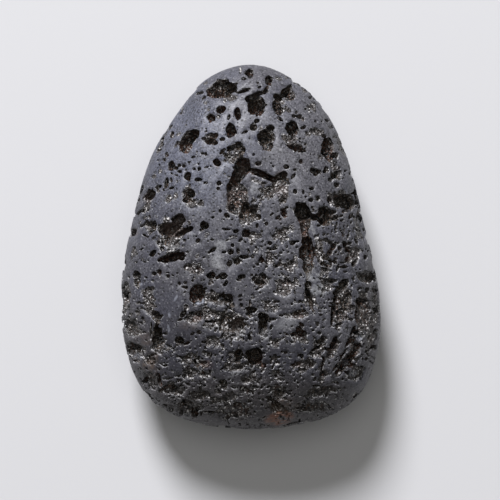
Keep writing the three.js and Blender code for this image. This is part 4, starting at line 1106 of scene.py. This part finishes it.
def basalt():
    """Worn slate-grey skin with painted light and shade, dark glassy walls with painted glints, painted
    rim highlights, a few stained places and some painted highlights over them.
    """
    shader = Shader("basalt")
    mix, step, sum_of, times = shader.mix, shader.step, shader.sum, shader.times
    metres = shader.add("ShaderNodeTexCoord", {}).outputs["Object"]
    scaled = {0: metres, "Scale": 1 / MM}
    place = shader.add("ShaderNodeVectorMath", scaled, operation="SCALE").outputs[0]
    depth = shader.number("depth")

    broad = shader.noise(place, BROAD)
    middle = shader.noise(place, MIDDLE, detail=4.0, rough=0.6)
    fine = shader.noise(place, FINE, detail=3.0, rough=0.6)
    chips = shader.chips(place, CHIP)

    # The worn skin, with its broad changes of tone, painted light and shade laid by TONES, dark hollows
    # and pale polished tops.
    skin = mix(step(broad, 0.3, 0.7), SKIN_COOL, SKIN_WARM)
    for tint, share, *where in TONES:
        skin = mix(times(shader.spot(place, *where), share), skin, tint)
    skin = mix(step(middle, 0.42, 0.75, 0.0, 0.30), skin, SKIN_DARK)
    skin = mix(step(fine, 0.36, 0.50, 0.85, 0.0), skin, SKIN_DEEP)
    duller = step(shader.spot(place, *DULLER), 0.0, 1.0, 0.45, 0.20)
    skin = mix(times(step(fine, 0.52, 0.66), duller), skin, SKIN_PALE)

    # Pinpricks too small to model, thick on the ground where the broad noise is high.
    dot = shader.cells(place, PRICK)
    choice = sum_of(shader.chips(place, PRICK), step(broad, 0.35, 0.65, -0.35, 0.25))
    prick = times(step(dot, 0.14, 0.26, 1.0, 0.0), step(choice, 0.50, 0.55))
    skin = mix(times(prick, 0.85), skin, WALL_BLACK)
    grit = shader.chips(place, GRIT)
    skin = mix(step(grit, 0.86, 0.89, 0.0, 0.65), skin, WALL_BLACK)
    skin = mix(step(grit, 0.06, 0.03, 0.0, 0.22), skin, PALE_GRIT_AND_RIM_HIGHLIGHT)

    # The walls: black glass with brown, red and grey grains, painted glints, and duller foam near the
    # mouth.
    wall = mix(step(broad, 0.42, 0.62), WALL_BROWN, WALL_RED)
    wall = mix(step(chips, 0.38, 0.48, 1.0, 0.0), wall, WALL_BLACK)
    wall = mix(step(chips, 0.84, 0.88), wall, WALL_GREY)
    foam = mix(step(chips, 0.45, 0.60), FOAM_DARK, FOAM_GREY)
    foam = mix(step(fine, 0.50, 0.60, 0.0, 0.5), foam, WALL_BROWN)
    wall = mix(step(depth, *GLASS_FROM), foam, wall)
    # Painted glints: pale specks on the walls, rarer deeper down.
    glint = times(step(chips, 0.92, 0.94), step(depth, *GLINTS_UNTIL, 1.0, 0.3))
    wall = mix(glint, wall, WALL_GLINT)

    # The walls begin at an uneven depth, and the rims get a painted highlight, full where they turn to
    # the key light and a quarter as strong elsewhere.
    uneven = step(middle, 0.2, 0.8, -0.04, 0.04)
    inside = step(sum_of(depth, uneven), *WALL_FROM)
    rim_highlight = times(
        step(depth, *RIM_FROM),
        step(depth, *RIM_UNTIL, 1.0, 0.0),
        step(shader.number("key_facing"), 0.05, 0.35, 0.25, 1.0),
        step(shader.number("tilt"), 0.06, 0.22),
        step(middle, 0.40, 0.54),
        step(fine, 0.42, 0.56, 0.15, 1.0),
    )
    colour = mix(rim_highlight, mix(inside, skin, wall), PALE_GRIT_AND_RIM_HIGHLIGHT)
    patchy = times(step(middle, 0.34, 0.58), step(fine, 0.36, 0.56, 0.5, 1.0))
    # The stained places, and painted highlights in the BLUE_WHITE rows.
    for tint, share, *where in STAINS_AND_GLINTS:
        mask = times(shader.spot(place, *where, soft=0.3), patchy)
        colour = mix(times(mask, share), colour, tint)
    shader.put(shader.surface.inputs["Base Color"], colour)

    # The skin is worn to a satin, and parts of the walls are glassy.
    satin = step(middle, 0.3, 0.7, 0.46, 0.60)
    glassy = step(fine, 0.35, 0.65, 0.25, 0.55)
    shader.put(shader.surface.inputs["Roughness"], mix(inside, satin, glassy, kind="Float"))

    blisters = sum_of(*[shader.cells(place, size) for size in WALL_CELLS])
    relief = times(inside, sum_of(blisters, times(fine, 0.6)))
    grain = sum_of(times(fine, 0.15), times(prick, -1.0))
    normal = shader.bump(relief, WALL_BUMP)
    normal = shader.bump(grain, SKIN_BUMP, Normal=normal)
    shader.put(shader.surface.inputs["Normal"], normal)
    return shader.material


def make_floor():
    """A plain pale floor under the stone."""
    bpy.ops.mesh.primitive_plane_add(size=FLOOR_SIZE, location=(0, 0, 0))
    floor = bpy.context.object
    floor.name = "floor"
    material = bpy.data.materials.new("floor")
    material.use_nodes = True
    shader = material.node_tree.nodes["Principled BSDF"]
    shader.inputs["Base Color"].default_value = FLOOR_GREY
    shader.inputs["Roughness"].default_value = 0.9
    shader.inputs["Specular IOR Level"].default_value = 0.2
    floor.data.materials.append(material)


def make_lights():
    """A key light from beyond the stone's narrow end, a wide fill from above, and a dim studio."""
    for name, place, size, watts, tint in LIGHTS:
        light = bpy.data.lights.new(name, "AREA")
        light.color = tint
        light.energy = watts
        light.shape = "DISK"
        light.size = size
        lamp = bpy.data.objects.new(name, light)
        lamp.location = place
        lamp.rotation_euler = (Vector(AIM) - Vector(place)).to_track_quat("-Z", "Y").to_euler()
        bpy.context.scene.collection.objects.link(lamp)
    world = bpy.data.worlds.new("studio")
    world.use_nodes = True
    backdrop = world.node_tree.nodes["Background"]
    backdrop.inputs["Color"].default_value = (1, 1, 1, 1)
    backdrop.inputs["Strength"].default_value = WORLD_LIGHT
    bpy.context.scene.world = world


def make_picture():
    """Plain display of the light, with no film-like softening of its contrast."""
    bpy.context.scene.view_settings.view_transform = "Standard"


def make_camera():
    """Straight down, with the picture PICTURE_WIDTH wide at the stone's widest level."""
    camera = bpy.data.cameras.new("camera")
    camera.sensor_width = SENSOR
    camera.lens = LENS
    x, y = PICTURE_MIDDLE
    height = PICTURE_LEVEL + PICTURE_WIDTH * LENS / SENSOR
    eye = bpy.data.objects.new("camera", camera)
    eye.location = (x * MM, y * MM, height * MM)
    bpy.context.scene.collection.objects.link(eye)
    bpy.context.scene.camera = eye


make_stone()
make_floor()
make_lights()
make_picture()
make_camera()
